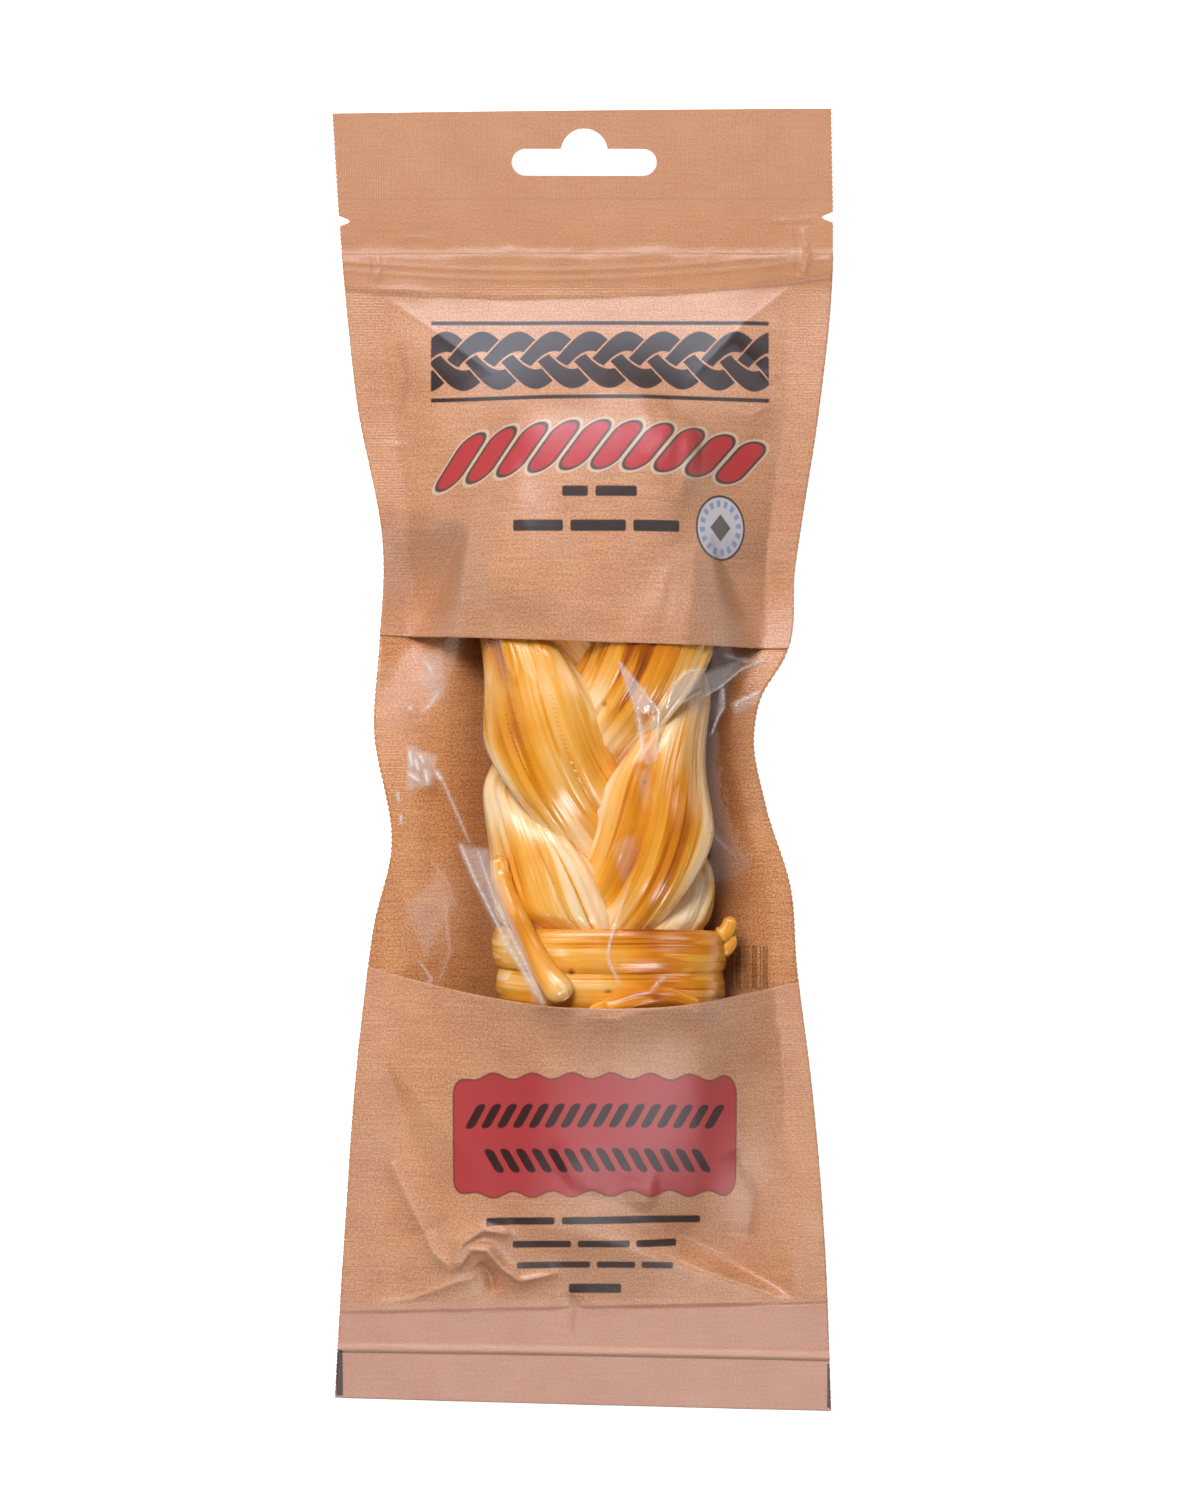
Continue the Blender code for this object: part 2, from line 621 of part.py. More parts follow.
def prism(name, outline, low, high):
    """An upright cutter with this outline."""
    count = len(outline)
    vertices = [(px, py, low) for px, py in outline] + [(px, py, high) for px, py in outline]
    sides = [(i, (i + 1) % count, count + (i + 1) % count, count + i) for i in range(count)]
    caps = [tuple(range(count))[::-1], tuple(range(count, 2 * count))]
    return add_object(name, vertices, sides + caps)


def arc(centre, radius, start, end, steps):
    """Points along an arc, its ends in degrees."""
    turn = np.radians(np.linspace(start, end, steps))
    return [(centre[0] + radius * math.cos(a), centre[1] + radius * math.sin(a)) for a in turn]


def slot_outline():
    """A rounded slot with a round hump over its middle, for a hook or a peg."""
    x, y = SLOT_CENTRE
    end = SLOT_HEIGHT / 2
    reach = SLOT_WIDTH / 2 - end
    hump = (x, y + HUMP_LIFT)
    meet = math.degrees(math.asin((end - HUMP_LIFT) / HUMP_RADIUS))
    return (
        arc((x + reach, y), end, -90, 90, 9)
        + arc(hump, HUMP_RADIUS, meet, 180 - meet, 13)
        + arc((x - reach, y), end, 90, 270, 9)
    )


def notch_outline(edge, height, inward):
    """A small tear notch that narrows to a round tip."""
    tip = edge + inward * (NOTCH_DEPTH - 0.5)
    return [
        (edge - inward * 2.0, height - NOTCH_HEIGHT), (tip, height - 0.45), (tip + inward * 0.5, height),
        (tip, height + 0.45), (edge - inward * 2.0, height + NOTCH_HEIGHT),
    ]


def main():
    for obj in list(bpy.data.objects):
        bpy.data.objects.remove(obj)
    braid, tie, grown = make_cheese()
    pouch, film = make_webs(grown)
    for obj in grown:
        bpy.data.objects.remove(obj)
    notches = [
        prism(f"notch_{side}", notch_outline(edge, height, inward), 0, 30)
        for side, edge, height, inward in NOTCHES
    ]
    carve(pouch, [prism("slot", slot_outline(), 0, 30)] + notches)
    finish(pouch, (0.56, 0.33, 0.19), 0.55)
    finish(film, (0.95, 0.95, 0.96), 0.08, alpha=0.25, crease=60)
    finish(braid, (0.80, 0.47, 0.13), 0.4, crease=50)
    finish(tie, (0.68, 0.34, 0.08), 0.4, crease=50)


main()
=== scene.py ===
"""Looks of a smoked cheese braid in its flat kraft pouch.

Surfaces are worked out in millimetres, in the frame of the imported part: X across the pouch, Y up towards
the hang slot and Z out of the front. The photograph looks straight down on the front.
"""

import math

import bpy
import numpy as np
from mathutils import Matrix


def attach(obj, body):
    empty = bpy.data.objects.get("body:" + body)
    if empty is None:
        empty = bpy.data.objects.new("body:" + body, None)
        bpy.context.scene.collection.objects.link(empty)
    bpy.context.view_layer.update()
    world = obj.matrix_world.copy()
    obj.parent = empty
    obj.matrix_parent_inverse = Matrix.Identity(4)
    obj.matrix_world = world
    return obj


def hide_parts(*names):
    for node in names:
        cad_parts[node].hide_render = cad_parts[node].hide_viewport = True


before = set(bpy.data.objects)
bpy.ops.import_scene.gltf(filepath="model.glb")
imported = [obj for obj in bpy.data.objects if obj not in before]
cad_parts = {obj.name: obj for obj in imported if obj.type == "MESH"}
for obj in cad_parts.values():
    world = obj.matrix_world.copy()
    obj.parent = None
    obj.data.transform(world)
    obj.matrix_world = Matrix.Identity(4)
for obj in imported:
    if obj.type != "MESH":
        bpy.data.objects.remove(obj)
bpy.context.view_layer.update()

# Strands of the braid
# Warm curd is pulled into strings, gathered in three hanks and plaited. Smoke turned what lay outside
# amber and left what was covered pale. The hanks press on each other, and the braid lies flat underneath.

MM = 0.001
STRANDS = 3
PLAIT_TURN = 125.0
PLAIT_START = 10.0
PLAIT_SWAY = 15.2
PLAIT_RISE = 8.0
STRAND_HALF_WIDTH = 13.2
STRAND_HALF_DEPTH = 8.5
BRAID_FOOT = -98.0
BRAID_HEAD = 82.0
BRAID_LIE = (
    (-98, 10.6), (-70, 13.8), (-56, 16.2), (-41, 17.0), (-20, 17.6), (52, 17.8), (70, 16.2), (82, 13.0),
)
BRAID_AXIS = ((-98, 5.0), (-45, 6.2), (-20, 4.3), (13, 3.1), (82, 2.5))
SWAY_SHARE = ((-98, 0.42), (-70, 0.64), (-45, 0.80), (-26, 1.0), (0, 1.0), (52, 1.0), (70, 0.8), (82, 0.45))
FULLNESS = ((-98, 0.62), (-70, 0.80), (-45, 0.86), (-26, 1.0), (0, 1.0), (52, 1.0), (70, 0.9), (82, 0.7))
BRAID_REACH = (27.0, 17.0)
STRAND_ROLL = (90.0, 135.0)
STRAND_SWELL = 0.50
STRAND_RINGS = 300
STRAND_SIDES = 7 * 33
CAP_LENGTH = 9.0
CAP_CUT = 0.93
BELLY = 1.2
BELLY_SOFTNESS = 1.2
BUNDLES = 7
BUNDLE_VALLEY = 0.055
BUNDLE_ROUNDNESS = 0.45
BUNDLE_DRIFT = 0.9
DRIFT_STEP = 0.7
STRINGS = 15
STRING_DEPTH = (0.2, 1.6)
STRING_FADE = (7.0, 19.0)
STRING_SWELL = (0.45, 0.65)
STRING_UNEVEN = 0.60
STRING_LIFT = 0.40
STRING_TWIST = 0.15
STRING_WANDER = 0.010
WANDER_LENGTH = 13.0
DARKEST_CREASE = 0.7
HAIRS = 60
HAIR_DEPTH = 0.02
HAIR_SWAY = 0.8
HAIR_LENGTH = 8.0
WAIST = (-45.5, 8.0, 14.0)
WAIST_OVAL = (22.6, 12.8)
WAIST_SLACK = 0.6
WAIST_SQUARENESS = 12
SMOKE_FROM_MIDDLE = (0.60, 0.98)
SMOKE_AT_SIDES = (0.75, 1.02)
SIDE_SHARE = 0.25

chance = np.random.default_rng(7)


def through(points, at):
    """Smooth curve through the points: cubic pieces whose slope at a point follows its neighbours."""
    known, value = np.array(points, float).T
    slope = np.gradient(value, known)
    i = np.clip(np.searchsorted(known, at) - 1, 0, len(known) - 2)
    span = known[i + 1] - known[i]
    t = np.clip((at - known[i]) / span, 0, 1)
    near = (2 * t**3 - 3 * t**2 + 1) * value[i] + (t**3 - 2 * t**2 + t) * span * slope[i]
    far = (3 * t**2 - 2 * t**3) * value[i + 1] + (t**3 - t**2) * span * slope[i + 1]
    return near + far


def unit(vectors):
    """The vectors with length 1."""
    return vectors / np.linalg.norm(vectors, axis=-1, keepdims=True)


def step_up(low, high, value):
    """0 at low and before, 1 at high and beyond, and 3t^2 - 2t^3 between."""
    t = np.clip((value - low) / (high - low), 0, 1)
    return t * t * (3 - 2 * t)


def string_relief(around, along, count, deepest):
    """Relief of strings side by side: ridge height, how deep in a crease a point lies, and its string's tone.

    The way round is shared out among strings of uneven width, which wander as a slow sine. Across a string the
    ridge is a root of 4t(1 - t). Each crease has its own depth, which swells and fades along the strand.
    """
    edges = np.concatenate(([0], np.cumsum(chance.lognormal(0, STRING_UNEVEN, count))))
    edges /= edges[-1]
    place = (around + STRING_WANDER * np.sin(along / WANDER_LENGTH + 4 * math.pi * around)) % 1.0
    which = np.clip(np.searchsorted(edges, place, side="right") - 1, 0, count - 1)
    t = (place - edges[which]) / (edges[which + 1] - edges[which])
    ridge = np.clip(4 * t * (1 - t), 0, 1) ** 0.5
    depth, length, phase = chance.uniform(
        (STRING_DEPTH[0], STRING_FADE[0], 0.0), (deepest, STRING_FADE[1], 2 * math.pi), (count, 3)
    ).T
    crease = np.where(t < 0.5, which, (which + 1) % count)
    swell = (STRING_SWELL[0] + STRING_SWELL[1] * np.sin(along / length[crease] + phase[crease])).clip(0, 1)
    drop = depth[crease] * swell * (1 - ridge)
    lift = STRING_LIFT * ridge * np.sin(along / length[which] + 2.0 + phase[which])
    hairs = HAIR_DEPTH * np.abs(np.sin(math.pi * HAIRS * place + HAIR_SWAY * np.sin(along / HAIR_LENGTH)))
    tone = chance.uniform(-1, 1, count)[which]
    return lift - drop - hairs, np.clip(drop / DARKEST_CREASE, 0, 1), tone * ridge


def squeezed(points):
    """The points drawn in to an oval where the tie will be; the oval widens again above and below it.

    A point's reach r, as a share of the oval's, shrinks to r / (1 + r^12)^(1/12).
    """
    middle, near, far = WAIST
    y = points[..., 1]
    slack = 1 + WAIST_SLACK * step_up(near, far, np.abs(y - middle))
    across = points[..., 0] - through(BRAID_AXIS, y)
    up = points[..., 2] - through(BRAID_LIE, y)
    reach = np.sqrt((across / WAIST_OVAL[0]) ** 2 + (up / WAIST_OVAL[1]) ** 2) / slack
    share = 1 / (1 + reach**WAIST_SQUARENESS) ** (1 / WAIST_SQUARENESS)
    return np.stack((points[..., 0] + across * (share - 1), y, points[..., 2] + up * (share - 1)), -1)


def strand_surface(index, rings, sides):
    """One strand as rings of points, with the way along it, its strings' drift and its point values.

    Its middle sways as a sine and rises as a sine of twice the angle, which plaits three such strands. Its
    section is an oval, thin side out, scalloped by bundles and again by the strings in them. Its underside is
    flattened: a height h over the belly becomes half of h plus the root of h^2 + s^2.
    """
    y = BRAID_FOOT + (BRAID_HEAD - BRAID_FOOT) * np.linspace(0, 1, rings)
    angle = 2 * math.pi * ((y - PLAIT_START) / PLAIT_TURN + index / STRANDS)
    sway = through(SWAY_SHARE, y)
    middle = np.stack((
        through(BRAID_AXIS, y) + PLAIT_SWAY * sway * np.sin(angle),
        y,
        through(BRAID_LIE, y) + PLAIT_RISE * sway * np.sin(2 * angle),
    ), axis=1)
    along = unit(np.gradient(middle, axis=0))
    roll = math.radians(STRAND_ROLL[0]) - math.radians(STRAND_ROLL[1]) * np.cos(angle)
    thin = np.stack((np.sin(roll), np.zeros(rings), np.cos(roll)), axis=1)
    thin = unit(thin - along * (thin * along).sum(axis=1, keepdims=True))
    wide = np.cross(along, thin)

    to_end = np.minimum(y - BRAID_FOOT, BRAID_HEAD - y)
    cap = np.sqrt(np.clip(1 - (1 - to_end / CAP_LENGTH).clip(0, CAP_CUT) ** 2, 0, 1))
    size = through(FULLNESS, y) * cap
    way = np.concatenate(([0], np.cumsum(np.linalg.norm(np.diff(middle, axis=0), axis=1))))
    sideways = BUNDLE_DRIFT * np.sin(angle + DRIFT_STEP * index)
    turn = 2 * math.pi * np.arange(sides) / sides + sideways[:, None]
    drift = (sideways - (1 - STRING_TWIST) * roll) / (2 * math.pi)
    place = np.arange(sides) / sides + drift[:, None]
    in_bundle = place * BUNDLES % 1.0
    scallop = 1 - BUNDLE_VALLEY * (1 - (4 * in_bundle * (1 - in_bundle)) ** BUNDLE_ROUNDNESS)
    relief, crease, tone = string_relief(
        place % 1.0, np.broadcast_to(way[:, None], (rings, sides)), STRINGS, STRING_DEPTH[1]
    )
    relief = (relief + STRAND_SWELL) * cap[:, None]
    half_width = STRAND_HALF_WIDTH * size[:, None] * scallop + relief
    half_depth = STRAND_HALF_DEPTH * size[:, None] * scallop + relief
    points = (
        middle[:, None]
        + wide[:, None] * (half_width * np.cos(turn))[..., None]
        + thin[:, None] * (half_depth * np.sin(turn))[..., None]
    )
    points = squeezed(points)
    above = points[..., 2] - BELLY
    points[..., 2] = BELLY + 0.5 * (above + np.sqrt(above**2 + BELLY_SOFTNESS**2))
    marks = {"crease": crease, "tone": tone, "pale": np.cos(turn) ** 4, "girth": np.full(crease.shape, 1.0)}
    return points, way, drift, marks


def smoked(points):
    """How much smoke reached each point: none near the braid's middle line, most on its outside."""
    y = points[..., 1]
    across = (points[..., 0] - through(BRAID_AXIS, y)) / BRAID_REACH[0]
    up = (points[..., 2] - through(BRAID_LIE, y)) / BRAID_REACH[1]
    outside = step_up(*SMOKE_FROM_MIDDLE, np.sqrt(across**2 + up**2))
    return outside * (1 - SIDE_SHARE) + SIDE_SHARE * step_up(*SMOKE_AT_SIDES, np.abs(across))


def tube_faces(rings, sides, closed=False):
    """Quads round a tube and along it, with a fan of triangles to a last point over each end if it is open."""
    i, j = np.meshgrid(np.arange(rings if closed else rings - 1), np.arange(sides), indexing="ij")
    after, ahead = (j + 1) % sides, (i + 1) % rings
    quads = np.stack((i * sides + j, i * sides + after, ahead * sides + after, ahead * sides + j), -1)
    if closed:
        return [quads.reshape(-1, 4)]
    j = np.arange(sides)
    last = (rings - 1) * sides
    foot = np.stack((j, np.full(sides, rings * sides), (j + 1) % sides), -1)
    head = np.stack((last + j, last + (j + 1) % sides, np.full(sides, rings * sides + 1)), -1)
    return [quads.reshape(-1, 4), foot, head]


def tube_points(rings):
    """The rings' points in one list, followed by the middles of the first and the last ring."""
    return np.concatenate((rings.reshape(-1, 3), rings[0].mean(0)[None], rings[-1].mean(0)[None]))


def tube_field(values):
    """A value for each point of tube_points()."""
    return np.concatenate((values.ravel(), [values[0].mean(), values[-1].mean()]))


def tube_uv(way, sides, faces, closed=False, drift=0.0):
    """Each face corner's place: the share of the way round, and millimetres along, unbroken at the joins.

    Drift turns the strings' pattern on each ring by a share of the way round.
    """
    rings = len(way)
    corner = np.concatenate([f.ravel() for f in faces])
    pole = corner >= rings * sides
    ring, side = np.minimum(corner // sides, rings - 1), np.where(pole, 0, corner % sides)
    u, v = side / sides, way[ring]
    quads = faces[0].size
    column = np.repeat(np.arange(quads // 4) % sides, 4)
    u[:quads] = np.where((column == sides - 1) & (side[:quads] == 0), 1.0, u[:quads])
    if closed:
        row = np.repeat(np.arange(quads // 4) // sides, 4)
        v[:quads] = np.where((row == rings - 1) & (ring[:quads] == 0), way[-1] + way[1], v[:quads])
    return np.stack((u + np.broadcast_to(drift, rings)[ring], v), -1)


def add_piece(name, points, faces, uv=None, **fields):
    """A smooth mesh from points in millimetres and arrays of faces, with a UV map and a value a point."""
    corners = np.concatenate([f.ravel() for f in faces]).astype(np.int32)
    sizes = np.concatenate([np.full(len(f), f.shape[1]) for f in faces])
    mesh = bpy.data.meshes.new(name)
    mesh.vertices.add(len(points))
    mesh.vertices.foreach_set("co", (points * MM).astype(np.float32).ravel())
    mesh.loops.add(len(corners))
    mesh.loops.foreach_set("vertex_index", corners)
    mesh.polygons.add(len(sizes))
    mesh.polygons.foreach_set("loop_start", (np.cumsum(sizes) - sizes).astype(np.int32))
    mesh.update(calc_edges=True)
    if uv is not None:
        mesh.uv_layers.new(name="along").data.foreach_set("uv", uv.astype(np.float32).ravel())
    for field, values in fields.items():
        layer = mesh.attributes.new(field, "FLOAT", "POINT")
        layer.data.foreach_set("value", values.astype(np.float32).ravel())
    mesh.shade_smooth()
    piece = bpy.data.objects.new(name, mesh)
    bpy.context.scene.collection.objects.link(piece)
    return piece


def srgb(red, green, blue):
    """A colour given as it shows on a screen, 0 to 255, made linear for a shader."""
    share = np.array((red, green, blue)) / 255
    linear = np.where(share < 0.04045, share / 12.92, ((share + 0.055) / 1.055) ** 2.4)
    return (*linear, 1.0)


class Wire:
    """An output socket that takes part in sums: each operator adds a Math node and gives its output."""

    def __init__(self, finish, socket):
        self.finish, self.socket = finish, socket

    def math(self, operation, *others, first=None, clamp=False):
        """A Math node on this and the others, or on first and this."""
        values = (self if first is None else first, *(others if first is None else (self,)))
        settings = {"operation": operation, "use_clamp": clamp}
        return self.finish.node("Math", settings, dict(enumerate(values)))

    def __add__(self, other):
        return self.math("ADD", other)

    def __sub__(self, other):
        return self.math("SUBTRACT", other)

    def __rsub__(self, other):
        return self.math("SUBTRACT", first=other)

    def __mul__(self, other):
        return self.math("MULTIPLY", other)

    def __truediv__(self, other):
        return self.math("DIVIDE", other)

    def __pow__(self, other):
        return self.math("POWER", other)

    def __mod__(self, other):
        return self.math("FLOORED_MODULO", other)

    def __abs__(self):
        return self.math("ABSOLUTE")

    __radd__, __rmul__ = __add__, __mul__

    def sine(self):
        """The sine of this, in radians."""
        return self.math("SINE")

    def most(self, other):
        """The greater of the two."""
        return self.math("MAXIMUM", other)

    def clamped(self):
        """This, kept between 0 and 1."""
        return self.math("ADD", 0.0, clamp=True)

    def rise(self, low, high):
        """0 where this is below low, 1 above high, straight between."""
        return ((self - low) / (high - low)).clamped()


class Finish:
    """A material's nodes. node() adds one of any type, and maths on the outputs adds more."""

    def __init__(self, name):
        self.material = bpy.data.materials.new(name)
        self.material.use_nodes = True
        self.tree = self.material.node_tree
        self.tree.nodes.clear()

    def node(self, kind, settings=None, sockets=None, out=0):
        """A node of that type: its settings first, then its sockets' values or links. Gives one output."""
        made = self.tree.nodes.new("ShaderNode" + kind)
        for name, value in (settings or {}).items():
            if name == "stops":
                self.set_stops(made.color_ramp, value)
            else:
                setattr(made, name, value)
        for name, value in (sockets or {}).items():
            if isinstance(value, Wire):
                self.tree.links.new(value.socket, made.inputs[name])
            else:
                made.inputs[name].default_value = value
        return Wire(self, made.outputs[out])

    def set_stops(self, ramp, stops):
        """The ramp's stops, each a place and a colour."""
        while len(ramp.elements) < len(stops):
            ramp.elements.new(1.0)
        for element, (place, colour) in zip(ramp.elements, stops):
            element.position, element.color = place, colour

    def field(self, name):
        """The value that the mesh holds for each point."""
        return self.node("Attribute", {"attribute_name": name}, out="Fac")

    def place(self, source="Object"):
        """The place on the piece, as X, Y and Z in millimetres for Object, or as the UV map has it."""
        vector = self.node("TexCoord", out=source)
        scale = 1 / MM if source == "Object" else 1.0
        parts = self.node("SeparateXYZ", sockets={0: vector})
        return tuple(Wire(self, parts.socket.node.outputs[i]) * scale for i in range(3))

    def noise(self, x, y, z=0.0, detail=3.0, rough=0.55):
        """Soft noise between 0 and 1 at that place, with one wave to a unit."""
        vector = self.node("CombineXYZ", sockets={0: x, 1: y, 2: z})
        return self.node("TexNoise", sockets={"Vector": vector, "Scale": 1.0, "Detail": detail, "Roughness": rough})

    def streaks(self, fine, along, detail):
        """Soft noise drawn out along a tube: its UV's share of the way round is laid on a circle this wide."""
        around, way, _ = self.place("UV")
        turn = around * (2 * math.pi)
        return self.noise(turn.math("COSINE") * fine, turn.sine() * fine, way * along, detail)

    def mix(self, share, low, high):
        """The two colours mixed by the share."""
        return self.node("Mix", {"data_type": "RGBA"}, {0: share, 6: low, 7: high}, out=2)

    def bump(self, height, depth):
        """A normal tilted by a height between 0 and 1 that stands for this many millimetres."""
        return self.node("Bump", sockets={"Strength": 1.0, "Distance": depth * MM, "Height": height})

    def surface(self, shader):
        """The material, with this shader as its surface."""
        self.tree.links.new(shader.socket, self.tree.nodes.new("ShaderNodeOutputMaterial").inputs["Surface"])
        return self.material


SPECKS = ((5.1, 12.3, 0.7), (10.7, 25.6, 0.4), (-2.2, -45.9, 0.9), (5.8, -49.9, 1.0), (13.6, -4.6, 0.4))
STAIN = (12.5, 20.5, 2.6)
BURNT_BROWN = srgb(122, 66, 22)
CHEESE_STOPS = (
    (0.00, srgb(253, 222, 180)), (0.20, srgb(249, 204, 138)), (0.40, srgb(240, 180, 84)),
    (0.60, srgb(232, 158, 44)), (0.80, srgb(212, 128, 14)), (1.00, srgb(164, 84, 4)),
)
STRAND_DARKER = 0.21
TIE_DARKER = 0.43
BY_SMOKE, BY_PALE, BY_CREASE, BY_TONE = 0.40, 0.42, 0.42, 0.08
# The head share is a painted shadow, the rim share is painted light, and the slips share is partly a painted
# highlight.
BY_RIGHT, BY_LOWER_LEFT, BY_PAINTED_HEAD_SHADOW, BY_PAINTED_RIM_LIGHT = 0.20, 0.16, 0.45, 0.25
BY_POOLS, BY_STREAKS, BY_HAIRS, BY_CLOUDS, BY_SLIPS_AND_GLINTS, BY_THREADS = 1.45, 0.75, 0.34, 0.3, 0.24, 0.22


def cheese_finish(name, darker):
    """Smoked cheese: pale where covered and at a strand's edges, golden on its face, rusty in creases.

    The shade is a sum of shares, taken through a ramp of colours. It is deeper to the right and paler at the lower
    left.
    At the head it is darker, a painted shadow under the upper panel's edge. Along the right rim it is paler, a
    painted light on the braid's steep side. Streaks follow the strings: broad pools, narrower streaks, fine hairs,
    pale slips with sharp edges that are partly a painted highlight, and dark threads.
    """
    finish = Finish(name)
    x, y, z = finish.place()
    smoke, crease, tone, pale, girth = (
        finish.field(field) for field in ("smoke", "crease", "tone", "pale", "girth")
    )
    pools = finish.streaks(girth * 0.9, 0.040, 1.0)
    streaks = finish.streaks(girth * 2.8, 0.035, 1.5)
    hairs = finish.streaks(girth * 17.0, 0.035, 1.5)
    slips_and_glints = finish.streaks(girth * 4.2, 0.060, 0.5)
    threads = finish.streaks(girth * 9.0, 0.025, 0.5)
    clouds = finish.noise(x * 0.09, y * 0.09, z * 0.09)
    # Painted light in the shade: darker at the head is a painted shadow under the upper panel's edge, paler at the
    # right rim is painted light on the braid's steep side, and the pale slips are partly a painted highlight along
    # the strings.
    shade = (
        smoke * BY_SMOKE - pale * BY_PALE + crease**3.0 * BY_CREASE + tone * BY_TONE + darker
        + x.rise(-8.0, 20.0) * BY_RIGHT - y.rise(-16.0, -32.0) * x.rise(12.0, -4.0) * BY_LOWER_LEFT
        + y.rise(15.0, 27.0) * BY_PAINTED_HEAD_SHADOW - x.rise(15.0, 24.0) * BY_PAINTED_RIM_LIGHT
        + (pools - 0.5) * BY_POOLS + (streaks - 0.5) * BY_STREAKS + (hairs - 0.5) * BY_HAIRS
        + (clouds - 0.5) * BY_CLOUDS - slips_and_glints.rise(0.60, 0.64) * BY_SLIPS_AND_GLINTS + threads.rise(0.64, 0.70) * BY_THREADS
    )
    colour = finish.node("ValToRGB", {"stops": CHEESE_STOPS}, {0: shade.clamped()})
    burnt = 0.0
    for speck_x, speck_y, radius in SPECKS:
        away = ((x - speck_x) ** 2.0 + (y - speck_y) ** 2.0) ** 0.5 / radius
        burnt = burnt + (1.2 - away).clamped() * (hairs * 3.2 - 0.9).clamped()
    stain_x, stain_y, radius = STAIN
    away = ((x - stain_x) ** 2.0 + (y - stain_y) ** 2.0) ** 0.5 / radius
    burnt = burnt + (1 - away).clamped() * hairs.rise(0.45, 0.65) * 0.8
    colour = finish.mix(burnt.clamped() * z.rise(22.0, 26.0), colour, BURNT_BROWN)
    return finish.surface(finish.node("BsdfPrincipled", sockets={
        "Base Color": colour,
        "Roughness": 0.16 + clouds * 0.12,
        "IOR": 1.46,
        "Specular IOR Level": 0.45,
        "Subsurface Weight": 0.35,
        "Subsurface Radius": (1.0, 0.7, 0.45),
        "Subsurface Scale": 0.0016,
        "Normal": finish.bump(hairs * 0.35 + streaks * 1.4 - slips_and_glints.rise(0.58, 0.66) * 0.25, 0.40),
    }))


strand_points = []
smoked_cheese = cheese_finish("smoked cheese", STRAND_DARKER)
for index in range(STRANDS):
    points, way, drift, marks = strand_surface(index, STRAND_RINGS, STRAND_SIDES)
    faces = tube_faces(STRAND_RINGS, STRAND_SIDES)
    strand = add_piece(
        f"strand_{index + 1}", tube_points(points), faces, tube_uv(way, STRAND_SIDES, faces, drift=drift),
        smoke=tube_field(smoked(points)), **{field: tube_field(value) for field, value in marks.items()},
    )
    strand.data.materials.append(smoked_cheese)
    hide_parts("cheese_braid")
    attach(strand, "root")
    strand_points.append(points.reshape(-1, 3))

# Tie
# One flat strand of the same cheese goes twice round the braid. Its loose end is laid up over the turns,
# with a thick root, and its tail crosses below and shows as a small stub at the right.

TIE_TURNS = ((-41.6, 23.4, 13.6), (-49.4, 22.8, 13.0))
TIE_HALF_HEIGHT = 4.5
TIE_HALF_DEPTH = 2.0
TIE_TILT = -0.9
TIE_WAVE = 0.5
TIE_STEPS, TIE_SIDES = 300, 66
TIE_STRINGS, TIE_DEEPEST = 6, 1.0
TIE_RELIEF = 0.28
TIE_SWELL = 0.5
TIE_FLATNESS = 0.75
TIE_RIM = 0.5
TURN_GIRTH = 0.45
STRING_GIRTH = 0.25
STRING_RELIEF = 0.14
STRING_SIDES, STUB_SIDES = 36, 30
LOOSE_STRINGS, LOOSE_DEEPEST = 6, 0.5
LOOSE_CREASE = 0.3
LOOSE_WOBBLE = (0.05, 1.9)
DOME_CUT = 0.97
LOOSE_END = ((-18.2, -20.6), (-17.2, -26.3), (-14.4, -32.9), (-11.2, -39.4), (-7.8, -45.9), (-3.2, -51.6))
LOOSE_END_RADIUS = (1.9, 2.05, 2.2, 2.4, 2.8, 4.2)
CROSS_TAIL = ((1.5, -54.8), (7.0, -53.2), (13.0, -51.6), (19.0, -51.4), (25.5, -53.4))
CROSS_TAIL_RADIUS = (1.6, 2.1, 2.4, 2.3, 1.5)
SIDE_STUB = ((32.8, -34.2), (32.4, -36.2), (31.4, -37.8), (29.6, -39.0))
SECOND_STUB = ((32.3, -38.2), (32.6, -40.2), (30.6, -42.6))
SECOND_STUB_RADIUS = (1.3, 1.45, 1.6)
SIDE_STUB_HEIGHT = 19.5
SECOND_STUB_HEIGHT = 18.7
SIDE_STUB_RADIUS = (1.6, 1.6, 1.7, 1.9)
COLLAR = (5.0, 0.7, 0.16)
SINK = 1.0
CELL = 1.0
RASTER_X = np.arange(-58, 58 + CELL, CELL)
RASTER_Y = np.arange(-147, 147 + CELL, CELL)


def raster_of(clouds, pick, empty):
    """Highest or lowest point of the clouds over each raster cell and its neighbours; empty where there is none."""
    raster = np.full((len(RASTER_X), len(RASTER_Y)), float(empty))
    for cloud in clouds:
        i = np.rint((cloud[:, 0] - RASTER_X[0]) / CELL).astype(int)
        j = np.rint((cloud[:, 1] - RASTER_Y[0]) / CELL).astype(int)
        pick.at(raster, (i, j), cloud[:, 2])
    for axis in (0, 1):
        raster = pick(raster, pick(np.roll(raster, 1, axis), np.roll(raster, -1, axis)))
    return raster


def sample(raster, x, y):
    """The raster between its nodes: a cubic B-spline over the four by four nodes around."""
    fx = ((x - RASTER_X[0]) / CELL).clip(1.001, len(RASTER_X) - 3)
    fy = ((y - RASTER_Y[0]) / CELL).clip(1.001, len(RASTER_Y) - 3)
    i, j = fx.astype(int), fy.astype(int)
    total = 0.0
    shares = [
        ((1 - t) ** 3 / 6, (3 * t**3 - 6 * t**2 + 4) / 6, (-3 * t**3 + 3 * t**2 + 3 * t + 1) / 6, t**3 / 6)
        for t in (fx - i, fy - j)
    ]
    for a in range(4):
        for b in range(4):
            total = total + shares[0][a] * shares[1][b] * raster[i + a - 1, j + b - 1]
    return total


